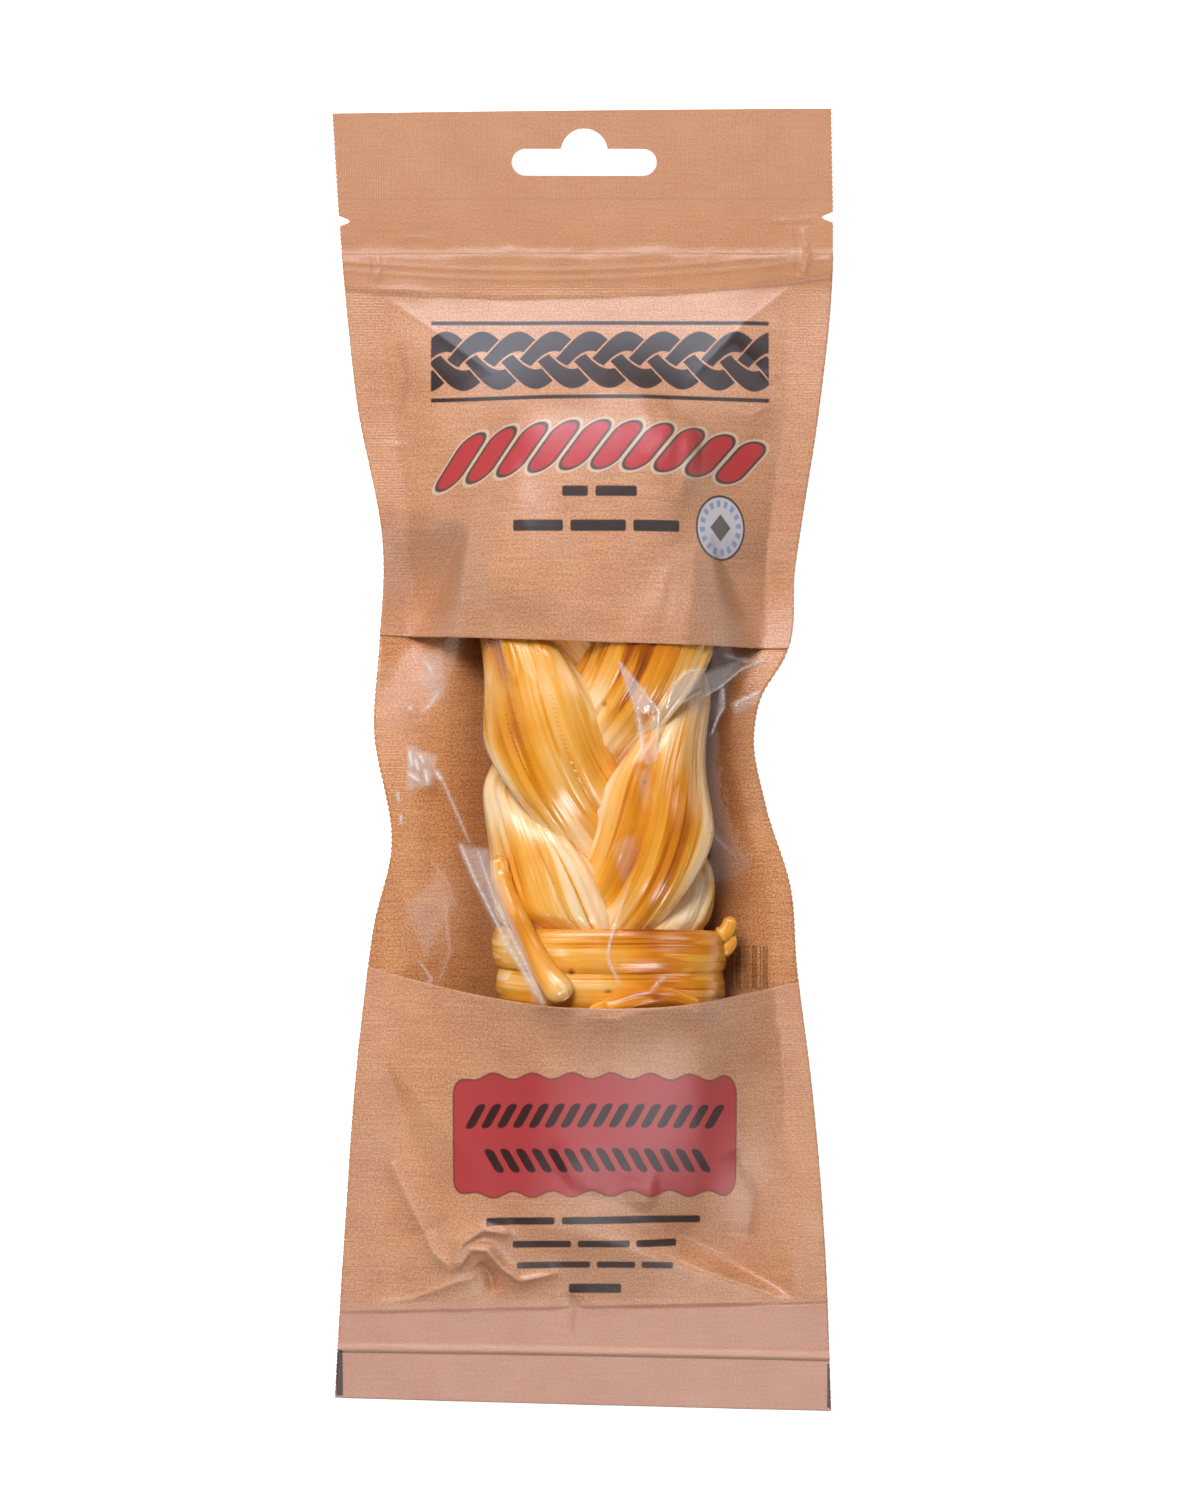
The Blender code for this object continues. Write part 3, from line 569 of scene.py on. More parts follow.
def turn_surface(turn, steps, sides):
    """One turn of the tie: a flat oval with strings, carried round a larger oval."""
    height, half_x, half_z = turn
    around = 2 * math.pi * np.arange(steps) / steps
    path = np.stack((
        through(BRAID_AXIS, height) + half_x * np.cos(around),
        height + TIE_TILT * np.cos(around) + TIE_WAVE * np.sin(2 * around),
        through(BRAID_LIE, height) + half_z * np.sin(around),
    ), axis=1)
    out = unit(np.stack((np.cos(around) / half_x, np.zeros(steps), np.sin(around) / half_z), axis=1))
    place = np.broadcast_to(np.arange(sides) / sides, (steps, sides))
    way = around * half_x
    along = np.broadcast_to(way[:, None], (steps, sides))
    relief, crease, tone = string_relief(place, along, TIE_STRINGS, TIE_DEEPEST)
    section = 2 * math.pi * place
    relief = TIE_RELIEF * relief + TIE_SWELL
    radial = (TIE_HALF_DEPTH + relief) * np.sign(np.sin(section)) * np.abs(np.sin(section)) ** TIE_FLATNESS
    lift = (TIE_HALF_HEIGHT + relief) * np.cos(section)
    points = path[:, None] + out[:, None] * radial[..., None] + np.array((0, 1.0, 0)) * lift[..., None]
    rim = -TIE_RIM * np.cos(section) ** 4
    return points, way, {"crease": crease, "tone": tone, "pale": rim, "girth": np.full(rim.shape, TURN_GIRTH)}


def string_surface(path, radii, sides, rings=70):
    """A round string through the path's points, with strings of its own and domed ends.

    Its radius wobbles as a sine of the way along, and a collar, a bell curve, stands where the string was bent.
    """
    path = np.array(path, float)
    knots = np.linspace(0, 1, len(path))
    share = 0.5 - 0.5 * np.cos(math.pi * np.linspace(0, 1, rings))
    middle = np.stack([through(np.stack((knots, path[:, k]), 1), share) for k in range(3)], axis=1)
    way = np.concatenate(([0], np.cumsum(np.linalg.norm(np.diff(middle, axis=0), axis=1))))
    radius = through(np.stack((knots, radii), 1), share)
    to_end = np.minimum(way, way[-1] - way)
    dome = np.sqrt(np.clip(1 - (1 - to_end / radius).clip(0, DOME_CUT) ** 2, 0, 1))
    along = unit(np.gradient(middle, axis=0))
    across = unit(np.cross(along, (0.0, 0.0, 1.0)))
    up = np.cross(across, along)
    place = np.broadcast_to(np.arange(sides) / sides, (rings, sides))
    relief, crease, tone = string_relief(
        place, np.broadcast_to(way[:, None], (rings, sides)), LOOSE_STRINGS, LOOSE_DEEPEST
    )
    collar_at, collar_length, collar_rise = COLLAR
    collar = collar_rise * np.exp(-(((way - collar_at) / collar_length) ** 2))
    wobble = 1 + LOOSE_WOBBLE[0] * np.sin(way / LOOSE_WOBBLE[1]) + collar
    reach = ((radius * wobble)[:, None] + STRING_RELIEF * relief) * dome[:, None]
    turn = 2 * math.pi * place
    points = (
        middle[:, None]
        + across[:, None] * (reach * np.cos(turn))[..., None]
        + up[:, None] * (reach * np.sin(turn))[..., None]
    )
    still = np.zeros(crease.shape)
    marks = {"crease": LOOSE_CREASE * crease, "tone": tone, "pale": still, "girth": still + STRING_GIRTH}
    return points, way, marks


def laid(places, radii, top):
    """A string's path over what lies under it, sunk a little into the soft surface.

    A height is at least the mean of it, taken twice, and its two neighbours.
    """
    x, y = np.array(places).T
    heights = sample(top, x, y) + np.array(radii) - SINK
    smooth = np.convolve(np.pad(heights, 1, mode="edge"), (0.25, 0.5, 0.25), mode="valid")
    return np.stack((x, y, np.maximum(heights, smooth)), axis=1)


def join_parts(name, parts):
    """One piece from several tubes: their points, faces, UV and values put end to end."""
    points, faces, uvs, fields, count = [], [], [], {}, 0
    for (rings, way, marks), closed in parts:
        own = tube_faces(*rings.shape[:2], closed)
        uvs.append(tube_uv(way, rings.shape[1], own, closed))
        for field, value in {"smoke": smoked(rings), **marks}.items():
            fields.setdefault(field, []).append(value.ravel() if closed else tube_field(value))
        points.append(rings.reshape(-1, 3) if closed else tube_points(rings))
        faces.extend(f + count for f in own)
        count += len(points[-1])
    fields = {field: np.concatenate(values) for field, values in fields.items()}
    return add_piece(name, np.concatenate(points), faces, np.concatenate(uvs), **fields)


turns = [turn_surface(turn, TIE_STEPS, TIE_SIDES) for turn in TIE_TURNS]
under = raster_of(strand_points + [turn[0].reshape(-1, 3) for turn in turns], np.maximum, 0)
stub = [(x, y, SIDE_STUB_HEIGHT) for x, y in SIDE_STUB]
second_stub = [(x, y, SECOND_STUB_HEIGHT) for x, y in SECOND_STUB]
strings = [
    string_surface(laid(LOOSE_END, LOOSE_END_RADIUS, under), LOOSE_END_RADIUS, STRING_SIDES),
    string_surface(laid(CROSS_TAIL, CROSS_TAIL_RADIUS, under), CROSS_TAIL_RADIUS, STRING_SIDES),
    string_surface(stub, SIDE_STUB_RADIUS, STUB_SIDES),
    string_surface(second_stub, SECOND_STUB_RADIUS, STUB_SIDES),
]
tie = join_parts("tie", [(turn, True) for turn in turns] + [(string, False) for string in strings])
tie.data.materials.append(cheese_finish("smoked cheese tie", TIE_DARKER))
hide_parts("cheese_tie")
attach(tie, "root")

# Back web
# A plain sheet of kraft laminate, as wide as the pouch and up to the head of the zip. It is welded to the front
# all round and lies flat on the table where the braid presses on it. Its inside shows through the window.

LEFT_EDGE = (
    (-145, -55.3), (-108, -52.9), (-54, -48.4), (-36, -46.0), (-20, -42.2), (8, -46.2),
    (25, -45.3), (48, -44.2), (79, -49.8), (101, -52.2), (120, -53.9), (145, -55.6),
)
RIGHT_EDGE = (
    (-145, 55.5), (-108, 53.9), (-72, 50.9), (-45, 47.5), (-28, 46.2), (-10, 40.7), (6, 38.0),
    (14, 39.6), (23, 45.0), (43, 47.3), (79, 52.6), (101, 55.1), (145, 55.5),
)
BOTTOM_EDGE = (-142.0, -143.6, -145.0)
BOTTOM_RIB = (-130.6, -131.4, -132.6)
BOTTOM_WELD = (-122.8, -121.8, -120.4)
WINDOW_FOOT = (-45.6, -53.4, -48.9)
WINDOW_HEAD = (28.0, 25.8, 24.7)
ZIP_FOOT = (104.0, 102.2, 106.8)
ZIP_HEAD = (112.3, 112.5, 112.3)
TOP_EDGE = (143.9, 144.6, 145.0)
LEFT_WELD = ((-145, 9.2), (-108, 8.8), (-54, 7.2), (-20, 6.8), (27, 6.5), (105, 8.2), (145, 8.4))
RIGHT_WELD = ((-145, 7.8), (-108, 7.6), (-54, 6.1), (6, 5.8), (27, 6.4), (105, 8.7), (145, 8.7))
SEAM_HEIGHT = ((-145, 6.5), (-120, 9.5), (-90, 12.0), (-40, 13.5), (40, 13.5), (90, 13.0), (120, 11.0), (145, 8.5))
SEAM_SIDE = 40.0
SEAM_WAVE = 0.9
SEAM_WAVE_LENGTH = 62.0
SEAM_WAVE_END = 112
SEAM_WAVE_FADE = 30.0
CURL_AT = 6.0
CURL_LENGTH = 20.0
CURL_RISE = 2.5
SLEEVES = ((-112.0, -58.0), (31.0, 88.0))
SLEEVE_HALF_WIDTH = ((-112, 27.0), (-58, 26.0), (31, 25.0), (88, 22.0))
SLEEVE_HALF_DEPTH = ((-112, 8.0), (-85, 12.6), (-58, 16.0), (31, 17.2), (70, 16.5), (88, 14.0))
SLEEVE_SQUARENESS = 2.6
SLEEVE_END = 16.0
NOWHERE = -1e3
WEB = 0.3
WELD_HALF = 0.35
WEB_CLEARANCE = 0.25
BACK_DROP = 0.3
SWEEPS = 2600
PULL = 0.004
TOOTH = 0.13
BACK_GRID = (420, 104)
BACK_COCKLE = 0.12
COCKLE_WAVES = ((0.11, 0.05, 0.0), (-0.07, 0.13, 1.7), (0.19, -0.09, 4.1), (0.05, 0.23, 2.2), (0.31, 0.17, 5.0))
DENTS = (
    ((-24.8, 52.0), (-45.2, 56.5), (-36.5, 29.5), 12.0, 19.0, 0.40),
    ((28.0, 50.0), (46.0, 50.0), (39.5, 26.0), 5.5, 15.0, 0.34),
    ((18.0, 80.0), (44.0, 74.0), (34.0, 60.0), 2.0, 16.0, 0.60),
    ((47.0, -119.6), (47.4, -84.0), (27.0, -108.5), 7.5, 20.0, 0.20),
    ((-44.0, -66.0), (-46.0, -100.0), (-35.0, -92.0), 2.0, 16.0, 0.40),
)
HIP_SOFTNESS = 1.9
UPPER_ROOF = (0.34, 0.36, 0.42, 19.0)
LOWER_ROOF = (0.30, 0.30, 0.36, 13.0)
STIFF_FROM = (-58, 30)
ROOF_WHOLE_FROM = (-84, 52)


def edges_at(y):
    """Places across of the pouch's left and right edges, and of the inner sides of the welds there."""
    left, right = through(LEFT_EDGE, y), through(RIGHT_EDGE, y)
    return left, right, left + through(LEFT_WELD, y), right - through(RIGHT_WELD, y)


def line_height(line, share):
    """Height of a line across the pouch, as a parabola through its three heights."""
    left, middle, right = line
    return left * (1 - share) * (1 - 2 * share) + middle * 4 * share * (1 - share) + right * share * (2 * share - 1)


def seam_height(x, y):
    """Height of the weld's middle above the table, with a slow sine along each side and a bell-shaped curl.

    Both grow with the square of the distance from the middle. The curl is at the right, at the narrow place.
    """
    side = np.clip(np.abs(x) / SEAM_SIDE, 0, 1) ** 2 * np.sign(x)
    ends = np.clip((SEAM_WAVE_END - np.abs(y)) / SEAM_WAVE_FADE, 0, 1)
    wave = SEAM_WAVE * side * ends * np.sin(2 * math.pi * y / SEAM_WAVE_LENGTH)
    curl = CURL_RISE * np.exp(-(((y - CURL_AT) / CURL_LENGTH) ** 2)) * np.clip(x / SEAM_SIDE, 0, 1) ** 2
    return through(SEAM_HEIGHT, y) + wave + curl


def sleeve(x, y, side):
    """Top or underside of the smooth pillow that stiff paper makes over the braid; far off beside it.

    Across it is a superellipse about the braid's axis, and its far end is drawn in as a quarter circle.
    """
    pillow = np.full(x.shape, NOWHERE)
    for low, high in SLEEVES:
        far = low if low < BRAID_FOOT else high
        reach = (np.abs(y - far) / SLEEVE_END).clip(0, 1)
        dome = np.sqrt(1 - (1 - reach) ** 2)
        across = np.abs(x - through(BRAID_AXIS, y)) / (through(SLEEVE_HALF_WIDTH, y) * dome + 1e-3)
        depth = through(SLEEVE_HALF_DEPTH, y) * dome
        rise = depth * (1 - across.clip(0, 1) ** SLEEVE_SQUARENESS) ** (1 / SLEEVE_SQUARENESS)
        in_sleeve = (y >= low) & (y <= high) & (across < 1)
        pillow = np.where(in_sleeve, np.maximum(pillow, side * through(BRAID_LIE, y) + rise), pillow)
    return side * pillow


def dent(x, y, tip, ridge_to, floor_to, depth, reach, wall):
    """A dent that spreads from a tip, as thin card buckles.

    It falls evenly with the angle from the ridge's direction to the floor's, and its wall brings it back within a
    further angle. Along a ray it deepens as r/R e^((1 - (r/R)^2) / 2).
    """
    from_ridge = math.atan2(ridge_to[1] - tip[1], ridge_to[0] - tip[0])
    from_floor = math.atan2(floor_to[1] - tip[1], floor_to[0] - tip[0])
    turn = (from_floor - from_ridge + math.pi) % (2 * math.pi) - math.pi
    angle = (np.arctan2(y - tip[1], x - tip[0]) - from_ridge) * np.sign(turn)
    share = ((angle + math.pi) % (2 * math.pi) - math.pi) / abs(turn)
    fall = np.where(share < 1, share, 1 - (share - 1) * abs(turn) / wall).clip(0, 1)
    fall = fall * fall * (3 - 2 * fall) * 0.5 + fall * 0.5
    away = np.hypot(x - tip[0], y - tip[1]) / reach
    return -depth * fall * away * np.exp((1 - away**2) / 2)


def softly_least(parts, soft):
    """The least of the parts, rounded where two are close: minus s times the log of the summed e^(-z/s)."""
    low = np.minimum.reduce(parts)
    return low - soft * np.log(sum(np.exp(-(part - low) / soft) for part in parts))


def roof(x, y):
    """How far stiff paper stands above its welds: the least of planes from the zip or the foot and both sides.

    They meet in soft hips under a flat top, and each panel's roof fades out towards the window.
    """
    left, right, weld_left, weld_right = edges_at(y)
    share = ((x - left) / (right - left)).clip(0, 1)
    from_left, from_right = (x - weld_left).clip(0, None), (weld_right - x).clip(0, None)
    from_zip = (line_height(ZIP_FOOT, share) - y).clip(0, None)
    from_foot = (y - line_height(BOTTOM_WELD, share)).clip(0, None)
    upper = softly_least((
        UPPER_ROOF[0] * from_zip, UPPER_ROOF[1] * from_left, UPPER_ROOF[2] * from_right,
        np.broadcast_to(UPPER_ROOF[3], x.shape),
    ), HIP_SOFTNESS)
    lower = softly_least((
        LOWER_ROOF[0] * from_foot, LOWER_ROOF[1] * from_left, LOWER_ROOF[2] * from_right,
        np.broadcast_to(LOWER_ROOF[3], x.shape),
    ), HIP_SOFTNESS)
    in_lower, in_upper = (step_up(*span, y) for span in zip(STIFF_FROM, ROOF_WHOLE_FROM))
    return upper * in_upper + lower * in_lower


def taut(start, fixed, pull, hold):
    """A web drawn tight, by sweeps: each free node moves to its neighbours' mean, less the pull, and is held."""
    z = start.copy()
    for _ in range(SWEEPS):
        mean = 0.25 * (z[:-2, 1:-1] + z[2:, 1:-1] + z[1:-1, :-2] + z[1:-1, 2:]) - pull
        z[1:-1, 1:-1] = np.where(fixed[1:-1, 1:-1], start[1:-1, 1:-1], mean)
        z = np.where(fixed, start, hold(z))
    return z


raster_x, raster_y = np.meshgrid(RASTER_X, RASTER_Y, indexing="ij")
near_y = raster_y.clip(-145, 145)
left, right, weld_left, weld_right = edges_at(near_y)
share = ((raster_x - left) / (right - left)).clip(0, 1)
welded = (
    (raster_x < weld_left) | (raster_x > weld_right)
    | (raster_y > line_height(ZIP_FOOT, share)) | (raster_y < line_height(BOTTOM_WELD, share))
)
seam = seam_height(raster_x, near_y)
contents = strand_points + [part[0].reshape(-1, 3) for part in turns + strings]
touched = raster_of(contents, np.maximum, NOWHERE) + WEB + WEB_CLEARANCE
highest = np.maximum(touched, sleeve(raster_x, raster_y, 1))
stiff = (raster_y > STIFF_FROM[1]) | (raster_y < STIFF_FROM[0])
highest = np.where(stiff & ~welded, np.maximum(highest, seam + WELD_HALF + roof(raster_x, near_y)), highest)
lowest = np.minimum(
    raster_of(contents, np.minimum, -NOWHERE) - WEB - WEB_CLEARANCE, sleeve(raster_x, raster_y, -1)
)
back = taut(seam - WELD_HALF, welded, -PULL / 2, lambda z: np.minimum(z, lowest - BACK_DROP).clip(0, None))
front = taut(
    np.maximum(seam + WELD_HALF, np.where(welded, NOWHERE, highest)), welded, PULL,
    lambda z: np.maximum(np.maximum(z, highest), back + 2 * WELD_HALF),
)
dents = sum(dent(raster_x, near_y, *marks) for marks in DENTS)
back = (back + dents).clip(0, None)
front = np.maximum(front + dents, np.maximum(touched.clip(0, None), back + 2 * WELD_HALF))


def sheet_grid(low, high, rows, columns, toothed):
    """Places of a sheet's grid between two lines, edge to edge, with the side edges cut in small teeth."""
    share = np.linspace(0, 1, columns)
    part = np.linspace(0, 1, rows)[:, None]
    y = line_height(low, share) * (1 - part) + line_height(high, share) * part
    left, right, _, _ = edges_at(y)
    tooth = TOOTH * np.where(np.arange(rows) % 2, 1, -1)[:, None] * toothed
    x = left + (right - left) * share
    x[:, :1] += tooth
    x[:, -1:] += tooth
    return x, y


def sheet_shell(x, y, upper, lower):
    """A closed thin sheet: its two faces as grids and a wall round them, with points and faces."""
    rows, columns = x.shape
    points = np.concatenate([np.stack((x, y, z), -1).reshape(-1, 3) for z in (upper, lower)])
    i, j = np.meshgrid(np.arange(rows - 1), np.arange(columns - 1), indexing="ij")
    quads = np.stack((i * columns + j, i * columns + j + 1, (i + 1) * columns + j + 1, (i + 1) * columns + j), -1)
    quads = quads.reshape(-1, 4)
    rim = np.concatenate((
        np.arange(columns - 1), np.arange(rows - 1) * columns + columns - 1,
        (rows - 1) * columns + np.arange(columns - 1, 0, -1), np.arange(rows - 1, 0, -1) * columns,
    ))
    after, under = np.roll(rim, -1), rows * columns
    wall = np.stack((rim + under, after + under, after, rim), -1)
    return points, [quads, quads[:, ::-1] + under, wall]


def from_weld(x, y):
    """Distance of each place from the nearest weld, less than nothing on it."""
    left, right, weld_left, weld_right = edges_at(y)
    share = (x - left) / (right - left)
    return np.minimum(
        np.minimum(x - weld_left, weld_right - x),
        np.minimum(line_height(ZIP_FOOT, share) - y, y - line_height(BOTTOM_WELD, share)),
    )


def weld_share(x, y):
    """1 on the welds and 0 off them, blurred over half a millimetre."""
    return 1 - step_up(-0.3, 0.3, from_weld(x, y))


def fold(x, y, route, height, width):
    """Height of a folded ridge along a broken line: it falls off as e to minus the distance over the width.

    Along the line it tapers as the root of 4t(1 - t), down to a fifth at its ends.
    """
    near, share = np.full(x.shape, np.inf), np.zeros(x.shape)
    runs = len(route) - 1
    for k, ((x0, y0), (x1, y1)) in enumerate(zip(route[:-1], route[1:])):
        length = math.hypot(x1 - x0, y1 - y0)
        t = (((x - x0) * (x1 - x0) + (y - y0) * (y1 - y0)) / length**2).clip(0, 1)
        away = np.hypot(x - x0 - t * (x1 - x0), y - y0 - t * (y1 - y0))
        share = np.where(away < near, (k + t) / runs, share)
        near = np.minimum(near, away)
    taper = np.sqrt(np.clip(4 * share * (1 - share), 0, 1)) * 0.8 + 0.2
    return height * taper * np.exp(-near / width)


def cockle(x, y, size):
    """Slow uneven waves of a paper sheet, the mean of a few sines in chosen directions."""
    return size * sum(np.sin(a * x + b * y + c) for a, b, c in COCKLE_WAVES) / len(COCKLE_WAVES)


INK = srgb(40, 20, 16)
KRAFT_DARK = srgb(174, 114, 78)
KRAFT_PALE = srgb(220, 167, 128)
INSIDE_DARK = srgb(160, 95, 52)
INSIDE_PALE = srgb(232, 170, 114)
FLECK_BROWN = srgb(128, 82, 54)
# The foot weld's mauve is a painted sheen, the header's matt brown is partly painted shade, the worn pale is mostly
# a painted highlight, and the pressed dark is mostly painted shade.
FOOT_WELD_PAINTED_SHEEN = srgb(196, 150, 136)
HEADER_MATT_AND_SHADE = srgb(176, 116, 66)
WEAR_AND_HIGHLIGHT_PALE = srgb(238, 200, 168)
SEAM_LINE_AND_SHADE_DARK = srgb(112, 70, 48)
# A painted shadow of the cheese on the back's inside: its colour, and on each side its band out from the braid.
PAINTED_SHADOW_DARK = srgb(104, 56, 32)
PAINTED_SHADOW_RIGHT = (31.0, 39.0, 0.72)
PAINTED_SHADOW_LEFT = (24.0, 31.0, 0.40)
FRONT_STREAKS, BACK_STREAKS = 1.05, 1.1
# The zip's pale lines are partly a painted highlight, and its dark middle line is painted shade in the groove.
ZIP_WEAR_AND_HIGHLIGHT = ((4.4, 0.08), (6.6, 0.10))
ZIP_GROOVE_SHADE = 5.5
HEADER_LINE = 124.6
UPRIGHT_PITCH = 0.55
LEVEL_PITCH = 0.62
BACK_PRINT_FRAMES = ((-23.4, 5.6, 5.6, 17.5), (-12.0, 5.6, 5.0, 17.5))
BACK_PRINT_BARS = (37.3, -45.8, 4.2, 4.8)


def box_edge(x, y, middle, half, corner):
    """Distance from a rounded box's outline, less than nothing inside it."""
    dx = (abs(x - middle[0]) - (half[0] - corner)).most(0.0)
    dy = (abs(y - middle[1]) - (half[1] - corner)).most(0.0)
    return (dx * dx + dy * dy) ** 0.5 - corner


def inside(distance, soft=0.12):
    """1 inside an outline and 0 outside."""
    return 1 - distance.rise(-soft, soft)


def paper_colour(finish, x, y, dark, pale, streaked):
    """Kraft between two browns: a close fibre mottle, lines along the web, slow blotches and a few flecks."""
    fibres = finish.noise(x * 2.3, y * 2.3, detail=6.0, rough=0.8)
    lines = finish.noise(x * 0.10, y * 2.4, 4.0, detail=4.0, rough=0.6)
    blotches = finish.noise(x * 0.09, y * 0.08, 8.0, detail=3.0)
    flecks = finish.noise(x * 1.1, y * 1.6, 12.0, detail=1.0).rise(0.70, 0.78)
    shade = (fibres - 0.5) * 5.0 + (lines - 0.5) * streaked + (blotches - 0.5) * 0.8 + 0.5
    colour = finish.mix(shade.clamped(), dark, pale)
    return finish.mix(flecks * 0.45, colour, FLECK_BROWN), fibres, lines


def paper_finish(name, dark=KRAFT_DARK, pale=KRAFT_PALE, streaked=FRONT_STREAKS, print_on=None):
    """Kraft paper under a thin clear film: satin, ribbed where it is welded, and printed where print_on says.

    The foot weld is painted mauve as a painted sheen, and zip and header are a matt brown that is partly painted
    shade. Rib, zip lines and crests get a painted highlight, on the zip lines partly wear, and the lines beside
    them and the valleys of folds get painted shade. The header's seal line is dark.
    """
    finish = Finish(name)
    x, y, _ = finish.place()
    weld = finish.field("weld")
    colour, fibres, lines = paper_colour(finish, x, y, dark, pale, streaked)
    # Painted sheen: the foot weld is mixed towards mauve, where a smooth laminate would reflect the lights.
    colour = finish.mix((1 - y.rise(-123.0, -119.0)) * 0.6, colour, FOOT_WELD_PAINTED_SHEEN)
    # Zip and header turn a darker matt brown, which is partly painted shade for the sheen they lack.
    colour = finish.mix(y.rise(103.0, 106.0) * 0.54, colour, HEADER_MATT_AND_SHADE)
    rib, zipped, crest = finish.field("rib"), finish.field("zip"), finish.field("crest")
    # Painted highlight: rib tops, fold crests and the zip lines are mixed pale, and on the zip lines this is partly
    # wear.
    wear_and_highlight = inside(abs(rib - 0.1), 0.5) * 0.5 * (0.4 + lines * 1.2) + (crest - 0.2).clamped() * 0.34
    for place, strength in ZIP_WEAR_AND_HIGHLIGHT:
        wear_and_highlight = wear_and_highlight + inside(abs(zipped - place + (fibres - 0.5) * 0.6) - 0.22, 0.2) * strength
    colour = finish.mix(wear_and_highlight.clamped(), colour, WEAR_AND_HIGHLIGHT_PALE)
    # Painted shade: dark lines below the rib, at the zip's foot and in the groove between the zip lines, and in
    # fold valleys. The header's seal line is dark too.
    seam_line_and_shade = inside(abs(rib + 1.0) - 0.14, 0.14) * 0.55 + inside(abs(y - HEADER_LINE) - 0.1, 0.3) * 0.22
    seam_line_and_shade = seam_line_and_shade + inside(abs(zipped - ZIP_GROOVE_SHADE) - 0.1, 0.3) * 0.16
    seam_line_and_shade = seam_line_and_shade + inside(abs(zipped + 0.1) - 0.2, 0.5) * 0.30 + (crest * -1 - 0.1).clamped() * 0.4
    colour = finish.mix(seam_line_and_shade.clamped(), colour, SEAM_LINE_AND_SHADE_DARK)
    if print_on:
        colour = print_on(finish, x, y, colour)
    upright = (x * (2 * math.pi / UPRIGHT_PITCH)).sine() * y.rise(124.2, 124.8)
    level = (y * (2 * math.pi / LEVEL_PITCH)).sine() * (1 - y.rise(104.0, 106.0)) * y.rise(-119.0, -118.0)
    height = fibres * 0.8 + lines * 0.2 + (upright * 0.5 + level * 0.5) * weld * 0.25
    return finish.surface(finish.node("BsdfPrincipled", sockets={
        "Base Color": colour,
        "Roughness": 0.24 + fibres * 0.12,
        "IOR": 1.5,
        "Specular IOR Level": 0.42,
        "Normal": finish.bump(height, 0.12),
    }))


def print_back(finish, x, y, colour):
    """The back's print as it shows faintly through the paper, on kraft darkened beside the cheese by a painted
    shadow.
    """
    # Painted shadow: a dark band beside the braid, wider and deeper on the right.
    painted_shadow = 0.0
    for outward, (low, high, strength) in ((x, PAINTED_SHADOW_RIGHT), (x * -1, PAINTED_SHADOW_LEFT)):
        painted_shadow = outward.rise(0.0, 10.0) * (1 - outward.rise(low, high)) * strength + painted_shadow
    colour = finish.mix(painted_shadow.clamped(), colour, PAINTED_SHADOW_DARK)
    marks = 0.0
    for cx, cy, half_x, half_y in BACK_PRINT_FRAMES:
        edge = box_edge(x, y, (cx, cy), (half_x, half_y), 2.5)
        marks = marks + inside(abs(edge), 0.22) * 0.35
    cx, cy, half_x, half_y = BACK_PRINT_BARS
    upright = (finish.noise(x * 1.7, 2.0, detail=0.0) - 0.5).rise(-0.02, 0.02)
    marks = marks + inside(box_edge(x, y, (cx, cy), (half_x, half_y), 0.3)) * upright * 0.45
    return finish.mix(marks.clamped(), colour, INK)


def paper_fields(x, y, crest=0.0):
    """Point fields of a sheet: its welds, its distances above the rib and the zip's foot, and its folds' crests."""
    left, right, _, _ = edges_at(y)
    share = (x - left) / (right - left)
    fields = {
        "weld": weld_share(x, y),
        "rib": y - line_height(BOTTOM_RIB, share),
        "zip": y - line_height(ZIP_FOOT, share),
        "crest": crest + np.zeros(x.shape),
    }
    return {field: np.tile(values.ravel(), 2) for field, values in fields.items()}


def dress_paper(piece, material):
    """The finish, slot, body and replaced node that every paper piece shares."""
    piece.data.materials.append(material)
    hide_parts("pouch")
    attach(piece, "root")


x, y = sheet_grid(BOTTOM_EDGE, ZIP_HEAD, *BACK_GRID, 1)
under_back = (sample(back, x, y) + cockle(x, y, BACK_COCKLE) * (1 - weld_share(x, y))).clip(0, None)
points, faces = sheet_shell(x, y, under_back + WEB, under_back)
back_web = add_piece("back_web", points, faces, **paper_fields(x, y))
dress_paper(back_web, paper_finish("kraft back", INSIDE_DARK, INSIDE_PALE, BACK_STREAKS, print_back))

# Front paper
# Two sheets of printed kraft laminate, above and below the window. They are stiffer than the film, so they
# stand off the braid as smooth pillows, hipped to the corners and dented at the sides where the pouch is thin.
# A fold is a broken line, a height and a width; a height below nothing is a valley.

